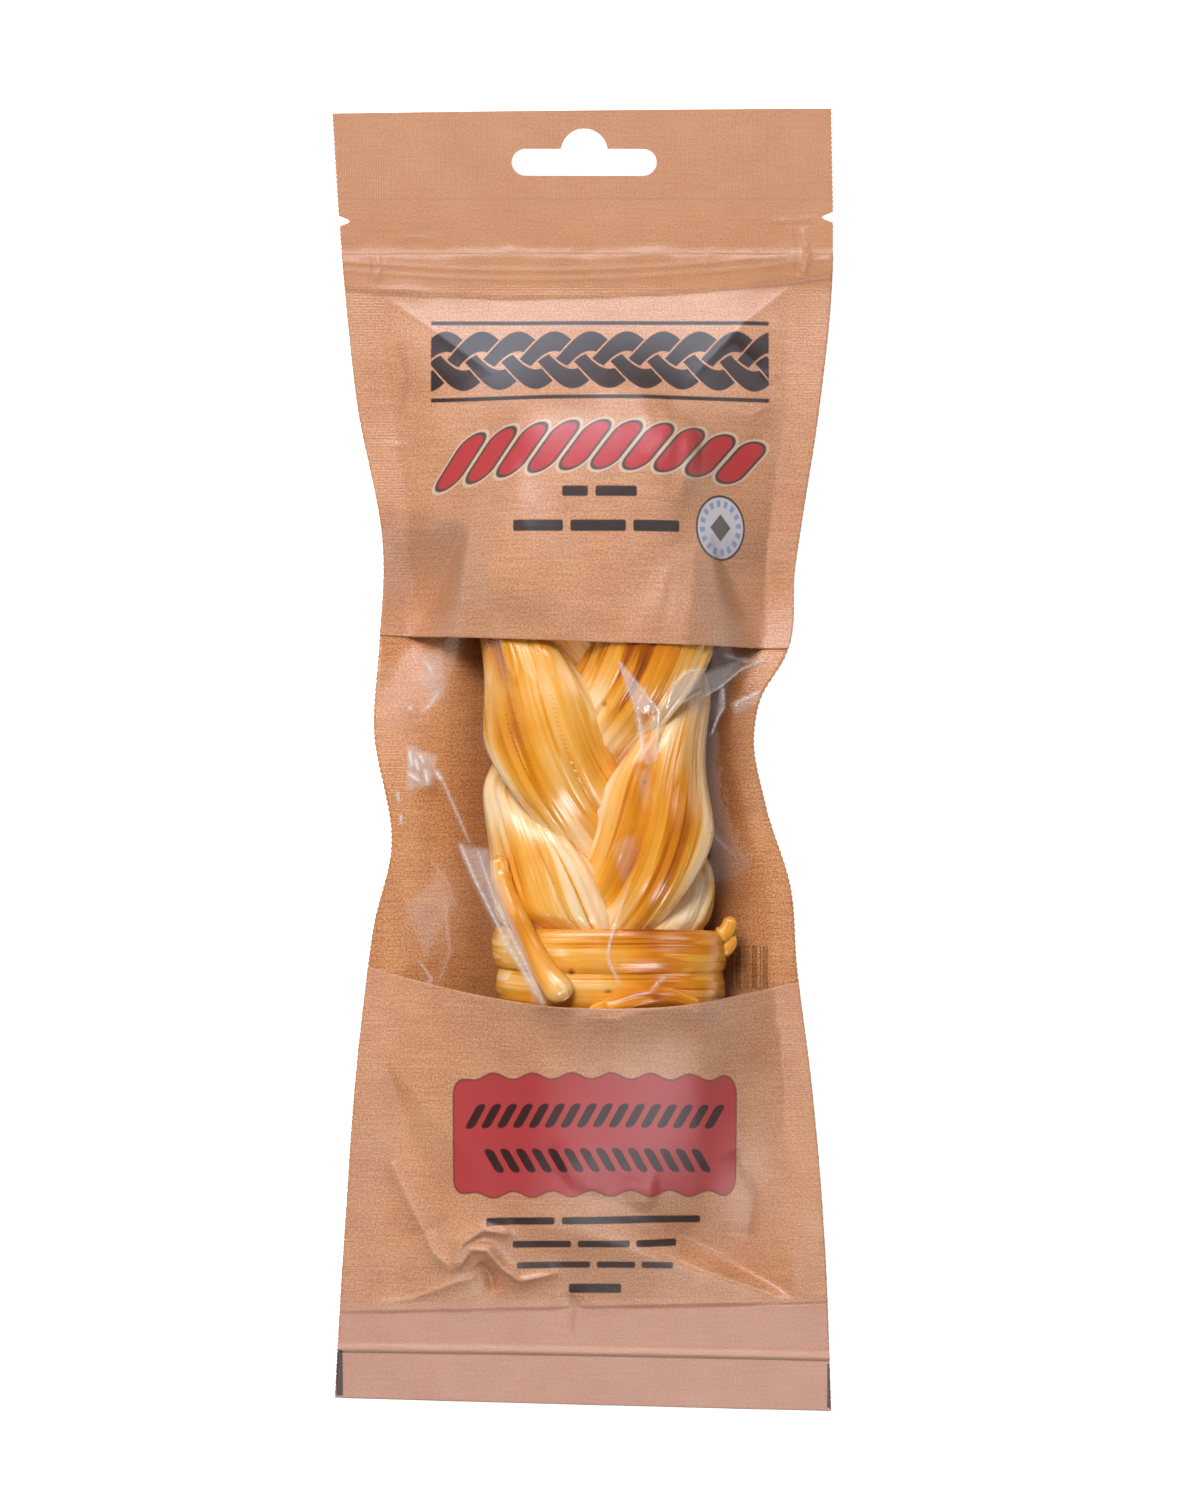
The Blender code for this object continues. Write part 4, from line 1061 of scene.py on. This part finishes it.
UPPER_FOLDS = (
    (((-43.6, 102.6), (-36.0, 97.5), (-20.0, 85.5)), 0.5, 1.6),
    (((46.0, 104.6), (36.0, 97.0), (24.0, 84.0)), 0.6, 1.6),
    (((38.5, 86.0), (41.0, 85.2), (43.5, 85.4)), 0.5, 0.8),
    (((-43.0, 70.0), (-38.0, 69.4)), 0.35, 1.0),
    (((33.0, 92.5), (38.0, 88.0), (42.0, 82.0)), -0.9, 2.2),
    (((30.0, 78.0), (37.0, 76.0), (41.0, 78.0)), 0.5, 2.0),
    (((-41.0, 92.0), (-38.5, 84.0), (-41.5, 74.0)), -0.6, 2.0),
    (((-14.0, 34.0), (-2.0, 33.2), (10.0, 34.2)), 0.25, 1.2),
)
LOWER_FOLDS = (
    (((-42.0, -89.0), (-37.0, -99.6), (-32.4, -109.0), (-28.3, -112.8)), 2.0, 1.3),
    (((-28.3, -111.8), (-26.6, -106.6), (-21.6, -103.2), (-16.0, -104.2)), 3.0, 1.1),
    (
        ((-27.6, -112.6), (-24.6, -107.8), (-20.8, -108.0), (-17.4, -112.4), (-13.6, -115.0), (-6.0, -113.4)),
        2.8, 1.1,
    ),
    (((-22.4, -111.0), (-20.4, -114.0), (-19.5, -118.0)), -3.0, 1.7),
    (((-47.0, -120.8), (-38.0, -119.4), (-28.0, -115.4), (-23.5, -114.4)), 0.9, 1.2),
    (((-2.5, -117.5), (-1.6, -121.0), (-2.2, -127.5)), -1.1, 1.1),
    (((-1.2, -128.5), (-1.0, -122.0)), 0.6, 0.35),
    (((-30.0, -101.0), (-34.0, -104.0), (-40.0, -105.0)), -0.6, 2.4),
    (((34.0, -86.0), (38.0, -96.0), (37.0, -106.0)), -1.0, 3.0),
)
HEADER_FOLDS = (
    (((42.2, 119.5), (47.0, 119.8), (52.0, 120.0)), 0.25, 0.4),
    (((46.6, 119.0), (47.6, 113.0), (46.6, 107.2)), -2.2, 0.6),
    (((49.0, 118.0), (49.8, 112.0), (48.8, 106.5)), 0.8, 0.6),
    (((-47.2, 112.5), (-46.4, 109.0), (-47.4, 105.6)), -1.8, 0.5),
    (((-45.4, 112.0), (-44.8, 109.0), (-45.6, 106.0)), 0.6, 0.5),
    (((-40.0, 116.0), (-33.0, 115.6)), 0.15, 0.4),
    (((-20.0, 112.0), (-15.0, 113.2), (-10.0, 112.4)), 0.25, 0.7),
    (((12.0, 111.8), (16.0, 113.0), (22.0, 112.6)), 0.22, 0.7),
    (((28.0, 114.0), (28.4, 110.5)), 0.25, 0.4),
    (((-47.0, 103.2), (-40.0, 104.4), (-33.0, 103.6)), 0.4, 0.9),
)
UPPER_ROWS, LOWER_ROWS, FRONT_COLUMNS = 220, 230, 206
FRONT_COCKLE = 0.22
ZIP_RISE = 0.5
ZIP_LINES = (4.6, 6.6)
ZIP_LINE_RISE = 0.10
ZIP_LINE_WIDTH = 0.40
RIB_RISE = 0.6
RIB_WIDTH = 0.9
RIB_GROOVE = (1.3, 0.4, 0.25)
WELD_LIP = 0.25
LIP_AT, LIP_WIDTH = 0.8, 0.6
SLACK, SLACK_LIFT = 0.22, 0.10
PUCKER, PUCKER_WIDTH = 0.25, 1.3
LEAST_LIFT = 0.12
REGISTER_MARKS = ((-54.0, -136.3, 0.75, 5.2), (55.0, -139.3, 0.4, 5.0))
REGISTER_BLACK = srgb(40, 40, 48)

FRIEZE = (4.0, 88.0, 37.3, 8.6)
FRIEZE_TURN = 24.0
FRIEZE_SWAY = 4.4
FRIEZE_BAND = 2.3
FRIEZE_GAP = 0.55
CORD = (4.2, 68.6, 34.2, 5.6)
CORD_PITCH = 6.84
CORD_SLANT = 0.75
CORD_SAG = 0.0032
CORD_RED = srgb(184, 48, 50)
HALO = srgb(214, 190, 168)
UPPER_BARS = (
    (-4.2, 1.4, 58.4, 1.15), (3.0, 12.0, 58.4, 1.15), (-14.8, -4.0, 50.9, 1.25), (-2.4, 9.6, 50.9, 1.25),
    (11.2, 21.2, 50.9, 1.25),
)
BADGE = (30.4, 51.0, 5.5, 7.2)
BADGE_WHITE = srgb(206, 200, 205)
BADGE_BLUE = srgb(110, 140, 190)
BADGE_BEADS = 16

LABEL = (3.1, -81.8, 30.9, 13.4)
LABEL_RED = srgb(180, 60, 62)
LABEL_KEY = srgb(120, 48, 50)
LABEL_ROWS = ((2.9, -77.4, 28.0, 2.7, 0.55), (3.5, -87.4, 24.5, 2.7, -0.55))
LABEL_PITCH = 3.5
LABEL_SAG = 0.0012
LABEL_WAVE, LABEL_WAVE_LENGTH = 0.7, 8.6
BAR_SAG = 0.0010
LOWER_BARS = (
    (-21.1, -6.0, -101.1, 0.85), (-4.4, 26.2, -101.1, 0.85), (-15.3, -2.4, -106.5, 0.8), (-0.9, 10.6, -106.5, 0.8),
    (12.0, 20.9, -106.5, 0.8), (-14.4, 1.8, -111.4, 0.75), (3.3, 11.8, -111.4, 0.75), (13.2, 20.2, -111.4, 0.75),
    (-2.9, 8.7, -117.0, 1.1),
)


def bars(x, y, spans, sag):
    """Plain dark bars, in rows that sag by the square of the distance from the middle."""
    marks = 0.0
    level = y + (x - 3.0) * (x - 3.0) * sag
    for low, high, height, half in spans:
        edge = box_edge(x, level, ((low + high) / 2, height), ((high - low) / 2, half), 0.5)
        marks = inside(edge) + marks
    return marks.clamped()


def frieze_ink(x, y):
    """A plaited band: three sine ribbons, each drawn over the ones that lie lower, between two rules."""
    cx, cy, half_x, half_y = FRIEZE
    best, inks = None, []
    for k in range(3):
        angle = (x - cx) * (2 * math.pi / FRIEZE_TURN) + 2 * math.pi * k / 3
        away = abs(y - cy - angle.sine() * FRIEZE_SWAY)
        rank = (angle * 2).sine() + 4 * inside(away - (FRIEZE_BAND + FRIEZE_GAP), 0.02)
        inks.append((rank, inside(away - FRIEZE_BAND)))
        best = rank if best is None else best.most(rank)
    ribbon = 0.0
    for rank, ink in inks:
        ribbon = (1 - (best - rank).rise(0.0, 0.002)) * ink + ribbon
    rules = inside(abs(abs(y - cy) - half_y) - 0.45)
    return (ribbon.clamped() + rules).clamped() * inside(box_edge(x, y, (cx, cy), (half_x, half_y + 1), 0.4))


def print_upper(finish, x, y, colour):
    """Upper panel: a plaited frieze, a red twisted cord in an arch, dark bars, and a badge with a diamond.

    The cord is a row of slanted rounded boxes, one to a pitch, each with a dark outline and a pale halo.
    """
    colour = finish.mix(frieze_ink(x, y) * 0.99, colour, INK)
    cx, cy, half_x, half_y = CORD
    level = y - cy + (x - cx) * (x - cx) * CORD_SAG
    slanted = x - cx - level * CORD_SLANT
    cell = (slanted + half_x) % CORD_PITCH - CORD_PITCH / 2
    row = inside(abs(slanted) - half_x)
    edge = box_edge(cell, level, (0.0, 0.0), (3.0, half_y), 2.9)
    colour = finish.mix(inside(edge - 0.55) * row * 0.75, colour, HALO)
    colour = finish.mix(inside(edge) * row * 0.92, colour, INK)
    colour = finish.mix(inside(edge + 0.6) * row, colour, CORD_RED)
    colour = finish.mix(bars(x, y, UPPER_BARS, 0.0) * 0.98, colour, INK)
    bx, by, half_w, half_h = BADGE
    dx, dy = (x - bx) / half_w, (y - by) / half_h
    reach = (dx * dx + dy * dy) ** 0.5
    beads = (dy.math("ARCTAN2", dx) * BADGE_BEADS).sine().rise(-0.2, 0.2)
    colour = finish.mix(inside(reach - 1.0, 0.02), colour, INK)
    colour = finish.mix(inside(reach - 0.93, 0.02), colour, BADGE_WHITE)
    colour = finish.mix(inside(abs(reach - 0.74) - 0.10, 0.02) * beads * 0.8, colour, BADGE_BLUE)
    colour = finish.mix(inside(abs(dx) + abs(dy) - 0.42, 0.02) * 0.85, colour, INK)
    return colour


def print_lower(finish, x, y, colour):
    """Lower panel: a red wavy label with two rows of dark slanted grains, bars below it, and register marks."""
    cx, cy, half_x, half_y = LABEL
    level = y + (x - cx) * (x - cx) * LABEL_SAG
    bumps = (x * (2 * math.pi / LABEL_WAVE_LENGTH)).sine() * LABEL_WAVE
    edge = box_edge(x, level, (cx, cy), (half_x, half_y), 4.0) + bumps
    colour = finish.mix(inside(edge) * 0.92, colour, LABEL_KEY)
    colour = finish.mix(inside(edge + 0.45) * 0.95, colour, LABEL_RED)
    for row_x, row_y, half_w, half_h, slant in LABEL_ROWS:
        slanted = x - row_x - (level - row_y) * slant
        cell = (slanted + half_w) % LABEL_PITCH - LABEL_PITCH / 2
        grain = box_edge(cell, level, (0.0, row_y), (1.05, half_h), 0.95)
        colour = finish.mix(inside(grain) * inside(abs(slanted) - half_w) * 0.96, colour, INK)
    colour = finish.mix(bars(x, y, LOWER_BARS, BAR_SAG) * 0.97, colour, INK)
    for mark_x, mark_y, half_w, half_h in REGISTER_MARKS:
        edge = box_edge(x, y, (mark_x, mark_y), (half_w, half_h), 0.1)
        colour = finish.mix(inside(edge) * 0.95, colour, REGISTER_BLACK)
    return colour


def front_height(x, y, folds, size):
    """Top face of the front web, and how far each place is a fold's crest.

    It is the taut web with its folds, its cockles off the welds, the zip's band and ridges, the foot weld's lip
    and rib with a groove below, slack waves in that weld, and a pucker at the zip's head. Ridges, rib, lip and
    pucker are bell curves across their lines. The face stays above the braid and the back web.
    """
    left, right, _, _ = edges_at(y)
    share = (x - left) / (right - left)
    z = sample(front, x, y) + cockle(x, y, size) * (1 - weld_share(x, y))
    crest = 0.0
    for route, height, width in folds:
        z = z + fold(x, y, route, height, width)
        crest = crest + fold(x, y, route, np.clip(height, -1, 1), width * 0.6)
    z = np.maximum(z, np.maximum(sample(touched.clip(0, None), x, y), sample(back, x, y) + 2 * WELD_HALF))
    foot, head = line_height(ZIP_FOOT, share), line_height(ZIP_HEAD, share)
    in_zip = step_up(0, 1.0, y - foot) * step_up(-1.5, 1.5, head - y)
    ridges = sum(np.exp(-(((y - foot - at) / ZIP_LINE_WIDTH) ** 2)) for at in ZIP_LINES)
    rib_line = y - line_height(BOTTOM_RIB, share)
    below, width, depth = RIB_GROOVE
    rib = np.exp(-((rib_line / RIB_WIDTH) ** 2)) - depth * np.exp(-(((rib_line + below) / width) ** 2))
    weld_line = y - line_height(BOTTOM_WELD, share)
    lip = np.exp(-(((weld_line - LIP_AT) / LIP_WIDTH) ** 2)) - step_up(-LIP_WIDTH, LIP_WIDTH, -weld_line)
    slack = (cockle(x * 1.9, y * 0.7, SLACK) + SLACK_LIFT) * step_up(0.0, 2.0, -weld_line)
    pucker = cockle(x * 3.1, y * 0.6, PUCKER) * np.exp(-(((y - head) / PUCKER_WIDTH) ** 2))
    z = z + ZIP_RISE * in_zip + ZIP_LINE_RISE * in_zip * ridges + RIB_RISE * rib + WELD_LIP * lip
    z = z + pucker * step_up(-3.0, 0.0, y - foot) + slack
    return np.maximum(z, sample(back, x, y) + LEAST_LIFT), crest


for name, low, high, rows, folds, artwork in (
    ("upper_paper", WINDOW_HEAD, ZIP_HEAD, UPPER_ROWS, UPPER_FOLDS + HEADER_FOLDS, print_upper),
    ("lower_paper", BOTTOM_EDGE, WINDOW_FOOT, LOWER_ROWS, LOWER_FOLDS, print_lower),
):
    x, y = sheet_grid(low, high, rows, FRONT_COLUMNS, 1)
    top, crest = front_height(x, y, folds, FRONT_COCKLE)
    points, faces = sheet_shell(x, y, top, top - WEB)
    panel = add_piece(name, points, faces, **paper_fields(x, y, crest))
    dress_paper(panel, paper_finish("kraft " + name.split("_")[0], print_on=artwork))

# Header
# Above the zip both webs are welded into one stiff strip, with a punched hang slot and two tear notches.
# The sealing bars left fine upright ribs in it.

SLOT_CENTRE = (0.5, 132.9)
SLOT_WIDTH = 32.2
SLOT_HEIGHT = 6.1
HUMP_RADIUS = 5.2
HUMP_LIFT = 2.4
NOTCHES = ((-53.9, 119.6, 1), (55.6, 120.5, -1))
NOTCH_DEPTH = 2.4
NOTCH_HEIGHT = 2.0
NOTCH_TIP = 0.5
NOTCH_TIP_HALF = 0.45
NOTCH_OUTSIDE = 2.0
CUT_FROM, CUT_TO = 0.0, 30.0
HEADER_GRID = (60, 200)
HEADER_EDGE = math.radians(50)


def arc(centre, radius, start, end, steps):
    """Points along a circle's arc, its ends in degrees."""
    turn = np.radians(np.linspace(start, end, steps))
    return np.stack((centre[0] + radius * np.cos(turn), centre[1] + radius * np.sin(turn)), axis=1)


def slot_outline():
    """A rounded slot with a round hump over its middle: two end arcs and the hump's, met at the slot's head."""
    x, y = SLOT_CENTRE
    end = SLOT_HEIGHT / 2
    reach = SLOT_WIDTH / 2 - end
    meet = math.degrees(math.asin((end - HUMP_LIFT) / HUMP_RADIUS))
    return np.concatenate((
        arc((x + reach, y), end, -90, 90, 25),
        arc((x, y + HUMP_LIFT), HUMP_RADIUS, meet, 180 - meet, 37),
        arc((x - reach, y), end, 90, 270, 25),
    ))


def notch_outline(edge, height, inward):
    """A small tear notch: five corners that narrow to a blunt tip."""
    tip, outside = edge + inward * (NOTCH_DEPTH - NOTCH_TIP), edge - inward * NOTCH_OUTSIDE
    return np.array((
        (outside, height - NOTCH_HEIGHT), (tip, height - NOTCH_TIP_HALF), (tip + inward * NOTCH_TIP, height),
        (tip, height + NOTCH_TIP_HALF), (outside, height + NOTCH_HEIGHT),
    ))


def punch(piece, outline):
    """Cuts the outline out of a piece, all the way through, with a prism and a Boolean."""
    count = len(outline)
    points = np.concatenate([np.column_stack((outline, np.full(count, z))) for z in (CUT_FROM, CUT_TO)])
    i = np.arange(count)
    after = (i + 1) % count
    faces = [np.stack((i, after, after + count, i + count), -1), i[None, ::-1], i[None] + count]
    cutter = add_piece("cutter", points, faces)
    cutter.data.update()
    cut = piece.modifiers.new("punch", "BOOLEAN")
    cut.operation, cut.object = "DIFFERENCE", cutter
    graph = bpy.context.evaluated_depsgraph_get()
    mesh = bpy.data.meshes.new_from_object(piece.evaluated_get(graph))
    piece.modifiers.clear()
    piece.data = mesh
    bpy.data.objects.remove(cutter)


x, y = sheet_grid(ZIP_HEAD, TOP_EDGE, *HEADER_GRID, 1)
top, crest = front_height(x, y, HEADER_FOLDS, 0.0)
points, faces = sheet_shell(x, y, top, sample(back, x, y))
header = add_piece("header", points, faces, **paper_fields(x, y, crest))
outlines = [slot_outline()] + [notch_outline(*notch)[::notch[2]] for notch in NOTCHES]
for outline in outlines:
    punch(header, outline)
header.data.set_sharp_from_angle(angle=HEADER_EDGE)
dress_paper(header, paper_finish("kraft header"))

# Window film
# The front's clear laminate, bare between the two paper panels. It hugs the braid, is pulled into long
# creases at the left and the tie, and catches the light on its wrinkles. Each fold, and a few facets, also carry a
# painted reflection: a diffuse white where the film would catch the light.

FILM = 0.06
FILM_DEPTH = 0.24
FILM_LAP = 1.2
FILM_GRID = (190, 220)
FILM_NARROWED = 0.996
# Each fold: a route, a height and a width of the ridge, and the strength of its painted reflection.
FILM_FOLDS = (
    (((-31.6, -2.1), (-28.5, -9.0), (-24.4, -18.2)), 0.5, 0.35, 0.35),
    (((-26.6, -18.2), (-23.2, -26.0), (-15.6, -40.6), (-8.4, -52.4)), 0.7, 0.30, 0.80),
    (((-22.6, -19.6), (-18.6, -31.0), (-14.6, -39.0), (-7.8, -52.6)), 0.5, 0.28, 0.60),
    (((10.4, -26.6), (7.6, -34.0), (6.0, -40.0), (5.7, -43.0), (8.4, -48.6)), 0.5, 0.25, 0.60),
    (((18.2, -46.3), (15.1, -49.6)), 0.3, 0.25, 0.40),
    (((8.2, 21.2), (12.3, 9.8), (13.6, 0.0)), 0.4, 0.25, 0.60),
    (((8.2, 21.2), (16.8, 10.7), (16.0, 0.1)), 0.5, 0.25, 0.70),
    (((18.6, 11.0), (19.8, 16.2), (22.6, 19.2), (26.8, 19.8)), 0.7, 0.30, 0.75),
    (((18.6, 11.0), (22.5, 13.0), (26.2, 15.2)), 0.5, 0.30, 0.50),
    (((25.8, 13.4), (30.7, 16.4), (35.1, 20.0), (40.2, 22.3)), 0.8, 0.30, 0.70),
    (((30.9, 16.3), (31.3, 11.7), (29.8, 9.4), (28.4, 5.7)), 0.8, 0.28, 0.90),
    (((33.0, 12.4), (36.4, 13.6), (39.4, 15.2)), 0.5, 0.35, 0.45),
    (((31.0, 23.2), (36.0, 22.0), (40.2, 22.3)), 0.4, 0.35, 0.30),
    (((27.0, -12.0), (29.4, -17.0), (34.0, -21.5)), 0.5, 0.4, 0.18),
    (((-35.3, 22.6), (-33.5, 20.0), (-32.9, 18.8)), 0.5, 0.35, 0.55),
    (((-35.5, 10.8), (-33.0, 12.6), (-31.3, 15.4)), 0.6, 0.35, 0.50),
    (((-38.7, 11.7), (-37.5, 11.4)), 0.4, 0.30, 0.90),
    (((-38.2, 2.2), (-37.7, -1.6)), 0.6, 0.40, 1.0),
    (((-36.9, 0.6), (-36.2, -2.2)), 0.6, 0.30, 1.0),
    (((-35.9, 1.4), (-34.9, -0.6)), 0.6, 0.28, 0.9),
    (((-38.6, -2.8), (-36.0, -4.6)), 0.7, 0.35, 1.0),
    (((-34.6, -1.8), (-34.0, -5.0)), 0.7, 0.28, 0.9),
    (((-32.2, -2.2), (-31.0, -4.2)), 0.6, 0.35, 1.0),
    (((-40.8, -6.8), (-40.4, -9.4)), 0.5, 0.30, 0.8),
    (((-40.0, -11.6), (-39.9, -14.2)), 0.5, 0.28, 0.7),
    (((-30.0, -30.0), (-29.0, -42.0), (-32.0, -50.0)), 0.6, 0.50, 0.12),
    (((-33.0, -22.0), (-29.8, -26.0), (-27.4, -32.0)), 0.5, 0.45, 0.12),
    (((-36.0, -44.0), (-33.0, -48.5), (-35.5, -50.0)), 0.5, 0.35, 0.30),
)
# Each facet: its corners and the strength of its painted reflection.
FILM_FACETS = (
    (((8.2, 21.2), (12.3, 9.8), (16.8, 10.7)), 0.34),
    (((11.5, 9.6), (13.4, 0.1), (14.8, -1.3), (13.4, 9.6)), 0.26),
    (((14.8, 9.8), (14.8, -1.3), (15.9, 0.1), (16.5, 9.8)), 0.24),
    (((11.8, -2.1), (13.4, -11.6), (14.8, -6.6), (15.3, -2.1)), 0.10),
    (((6.2, -18.2), (8.4, -26.0), (9.8, -26.6), (12.1, -18.8), (11.5, -15.4)), 0.07),
    (((19.8, 16.2), (18.4, 11.2), (26.2, 15.7), (26.8, 19.6), (22.3, 19.0)), 0.24),
    (((26.2, 19.0), (26.2, 13.7), (30.7, 16.3), (36.7, 23.0)), 0.22),
    (((30.0, 16.0), (29.6, 10.1), (31.1, 11.2), (31.9, 16.3)), 0.30),
    (((32.4, 12.3), (34.0, 9.9), (40.0, 13.4), (39.1, 15.9)), 0.16),
    (((-27.6, -18.1), (-9.3, -53.2), (-7.6, -53.2), (-20.0, -19.0)), 0.16),
    (((-39.0, 4.0), (-38.8, -7.0), (-33.0, -5.5), (-31.5, 1.0)), 0.22),
    (((-39.5, -32.0), (-34.5, -44.5), (-28.0, -31.0), (-31.5, -24.5)), 0.07),
    (((-36.5, 24.0), (-33.5, 12.0), (-29.5, 14.5), (-31.0, 25.0)), 0.10),
)


def facet(x, y, corners):
    """1 inside a convex outline of corners and 0 outside, blurred by the least distance to its sides."""
    near = np.full(x.shape, np.inf)
    middle = np.mean(corners, axis=0)
    for (x0, y0), (x1, y1) in zip(corners, corners[1:] + corners[:1]):
        length = math.hypot(x1 - x0, y1 - y0)
        side = ((x1 - x0) * (y - y0) - (y1 - y0) * (x - x0)) / length
        facing = (x1 - x0) * (middle[1] - y0) - (y1 - y0) * (middle[0] - x0)
        near = np.minimum(near, side * math.copysign(1, facing))
    return step_up(-0.5, 1.2, near)


def film_finish(name):
    """Clear glossy film: mostly seen through, mirror-like at a glance, and a painted reflection in diffuse white
    where it is creased.
    """
    finish = Finish(name)
    x, y, _ = finish.place()
    haze = finish.field("haze")
    ripples = finish.noise(x * 0.35, y * 0.22, detail=2.0)
    scuffs = finish.noise(x * 2.2, y * 1.6, 5.0, detail=2.0)
    glance = finish.node("LayerWeight", sockets={"Blend": 0.2}, out="Fresnel")
    gloss = finish.node("BsdfGlossy", sockets={
        "Color": (1.0, 0.985, 0.975, 1.0), "Roughness": 0.08, "Normal": finish.bump(ripples, 0.4),
    })
    # A diffuse white that stands in for the light reflected off creases: a painted reflection.
    painted_white = finish.node("BsdfDiffuse", sockets={"Color": (0.96, 0.91, 0.89, 1.0)})
    clear = finish.node("BsdfTransparent", sockets={"Color": (0.99, 0.985, 0.98, 1.0)})
    painted_white_share = haze * (0.5 + scuffs * 0.5)
    body = finish.node("MixShader", sockets={0: painted_white_share.clamped(), 1: clear, 2: painted_white})
    share = (glance * 0.03 + haze * 0.05).clamped()
    return finish.surface(finish.node("MixShader", sockets={0: share, 1: body, 2: gloss}))


def lapped(line, by):
    """The line moved up by so much."""
    return tuple(height + by for height in line)


x, y = sheet_grid(lapped(WINDOW_FOOT, -FILM_LAP), lapped(WINDOW_HEAD, FILM_LAP), *FILM_GRID, 0)
x = x * FILM_NARROWED
film_top = sample(front, x, y) - FILM_DEPTH
haze = 0.0
for route, height, width, painted_white in FILM_FOLDS:
    film_top = film_top + fold(x, y, route, height, width)
    haze = haze + fold(x, y, route, painted_white, width * 0.6)
for corners, painted_white in FILM_FACETS:
    haze = haze + painted_white * facet(x, y, corners)
haze = haze.clip(0, 1)
points, faces = sheet_shell(x, y, film_top, film_top - FILM)
film = add_piece("film", points, faces, haze=np.tile(haze.ravel(), 2))
film.data.materials.append(film_finish("clear film"))
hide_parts("window_film")
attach(film, "root")

# Floor, light and camera
# A plain white table under soft light from above and from the head of the pouch. A softbox lights the pouch and
# a sheen only shows on its gloss. The camera looks straight down, and the pouch's place in the photograph sets its
# frame.

FLOOR_SIZE = 6.0
FLOOR_DROP = 0.0002
FLOOR_GLOW = 0.85
WORLD_STRENGTH = 0.17
WARM, COOL = (1.0, 0.98, 0.97), (0.94, 0.95, 1.0)
PIXEL = 290.0 / 1305.0
POUCH_MIDDLE = (582.0, 760.5)
FRAME_PIXELS = (1200.0, 1500.0)
FRAME_HEIGHT = 9.5
LENS = 100.0
SENSOR = 36.0

bpy.ops.mesh.primitive_plane_add(size=FLOOR_SIZE, location=(0, 0, -FLOOR_DROP))
floor = bpy.context.object
floor.name = "floor"
white = Finish("white table")
floor.data.materials.append(white.surface(white.node("BsdfPrincipled", sockets={
    "Base Color": (0.93, 0.93, 0.93, 1.0), "Roughness": 0.8, "Specular IOR Level": 0.1,
    "Emission Color": (1.0, 1.0, 1.0, 1.0), "Emission Strength": FLOOR_GLOW,
})))
floor.visible_diffuse = False

world = bpy.data.worlds.new("studio")
bpy.context.scene.world = world
world.use_nodes = True
world.node_tree.nodes["Background"].inputs["Color"].default_value = (1.0, 1.0, 1.0, 1.0)
world.node_tree.nodes["Background"].inputs["Strength"].default_value = WORLD_STRENGTH

for name, place, width, height, power, tint, diffuse, glossy in (
    ("top softbox", (-0.40, 0.95, 1.85), 0.6, 0.6, 32.0, WARM, True, False),
    ("head softbox", (-0.70, 1.80, 1.45), 1.8, 1.0, 13.0, WARM, True, False),
    ("head sheen", (-0.45, 1.90, 1.45), 2.0, 1.1, 112.0, (0.74, 0.84, 1.0), False, True),
    ("left softbox", (-1.90, -0.10, 1.40), 1.0, 1.6, 6.0, WARM, True, False),
    ("left sheen", (-1.95, 0.20, 1.50), 0.8, 1.6, 4.0, COOL, False, True),
    ("right fill", (1.90, -0.60, 1.80), 1.2, 1.8, 4.0, WARM, True, False),
    ("right sheen", (1.60, 1.10, 1.50), 0.8, 1.2, 22.0, (0.90, 0.93, 1.0), False, True),
    ("foot fill", (0.60, -1.85, 1.50), 1.6, 0.9, 10.0, WARM, True, False),
    ("foot sheen", (0.70, -1.45, 1.75), 0.9, 0.6, 42.0, COOL, False, True),
    ("glint lamp", (-0.32, 0.55, 1.70), 0.20, 0.10, 1.6, WARM, False, True),
):
    light = bpy.data.lights.new(name, "AREA")
    light.shape, light.size, light.size_y = "RECTANGLE", width, height
    light.energy, light.color = power, tint
    lamp = bpy.data.objects.new(name, light)
    bpy.context.scene.collection.objects.link(lamp)
    lamp.location = place
    lamp.rotation_euler = (-lamp.location).to_track_quat("-Z", "Y").to_euler()
    lamp.visible_diffuse, lamp.visible_glossy = diffuse, glossy

camera = bpy.data.cameras.new("camera")
camera.lens, camera.sensor_width = LENS, SENSOR
eye = bpy.data.objects.new("camera", camera)
bpy.context.scene.collection.objects.link(eye)
distance = FRAME_PIXELS[1] * PIXEL * LENS / SENSOR
eye.location = (
    (FRAME_PIXELS[0] / 2 - POUCH_MIDDLE[0]) * PIXEL * MM,
    (POUCH_MIDDLE[1] - FRAME_PIXELS[1] / 2) * PIXEL * MM,
    (FRAME_HEIGHT + distance) * MM,
)
bpy.context.scene.camera = eye
bpy.context.scene.view_settings.view_transform = "Standard"
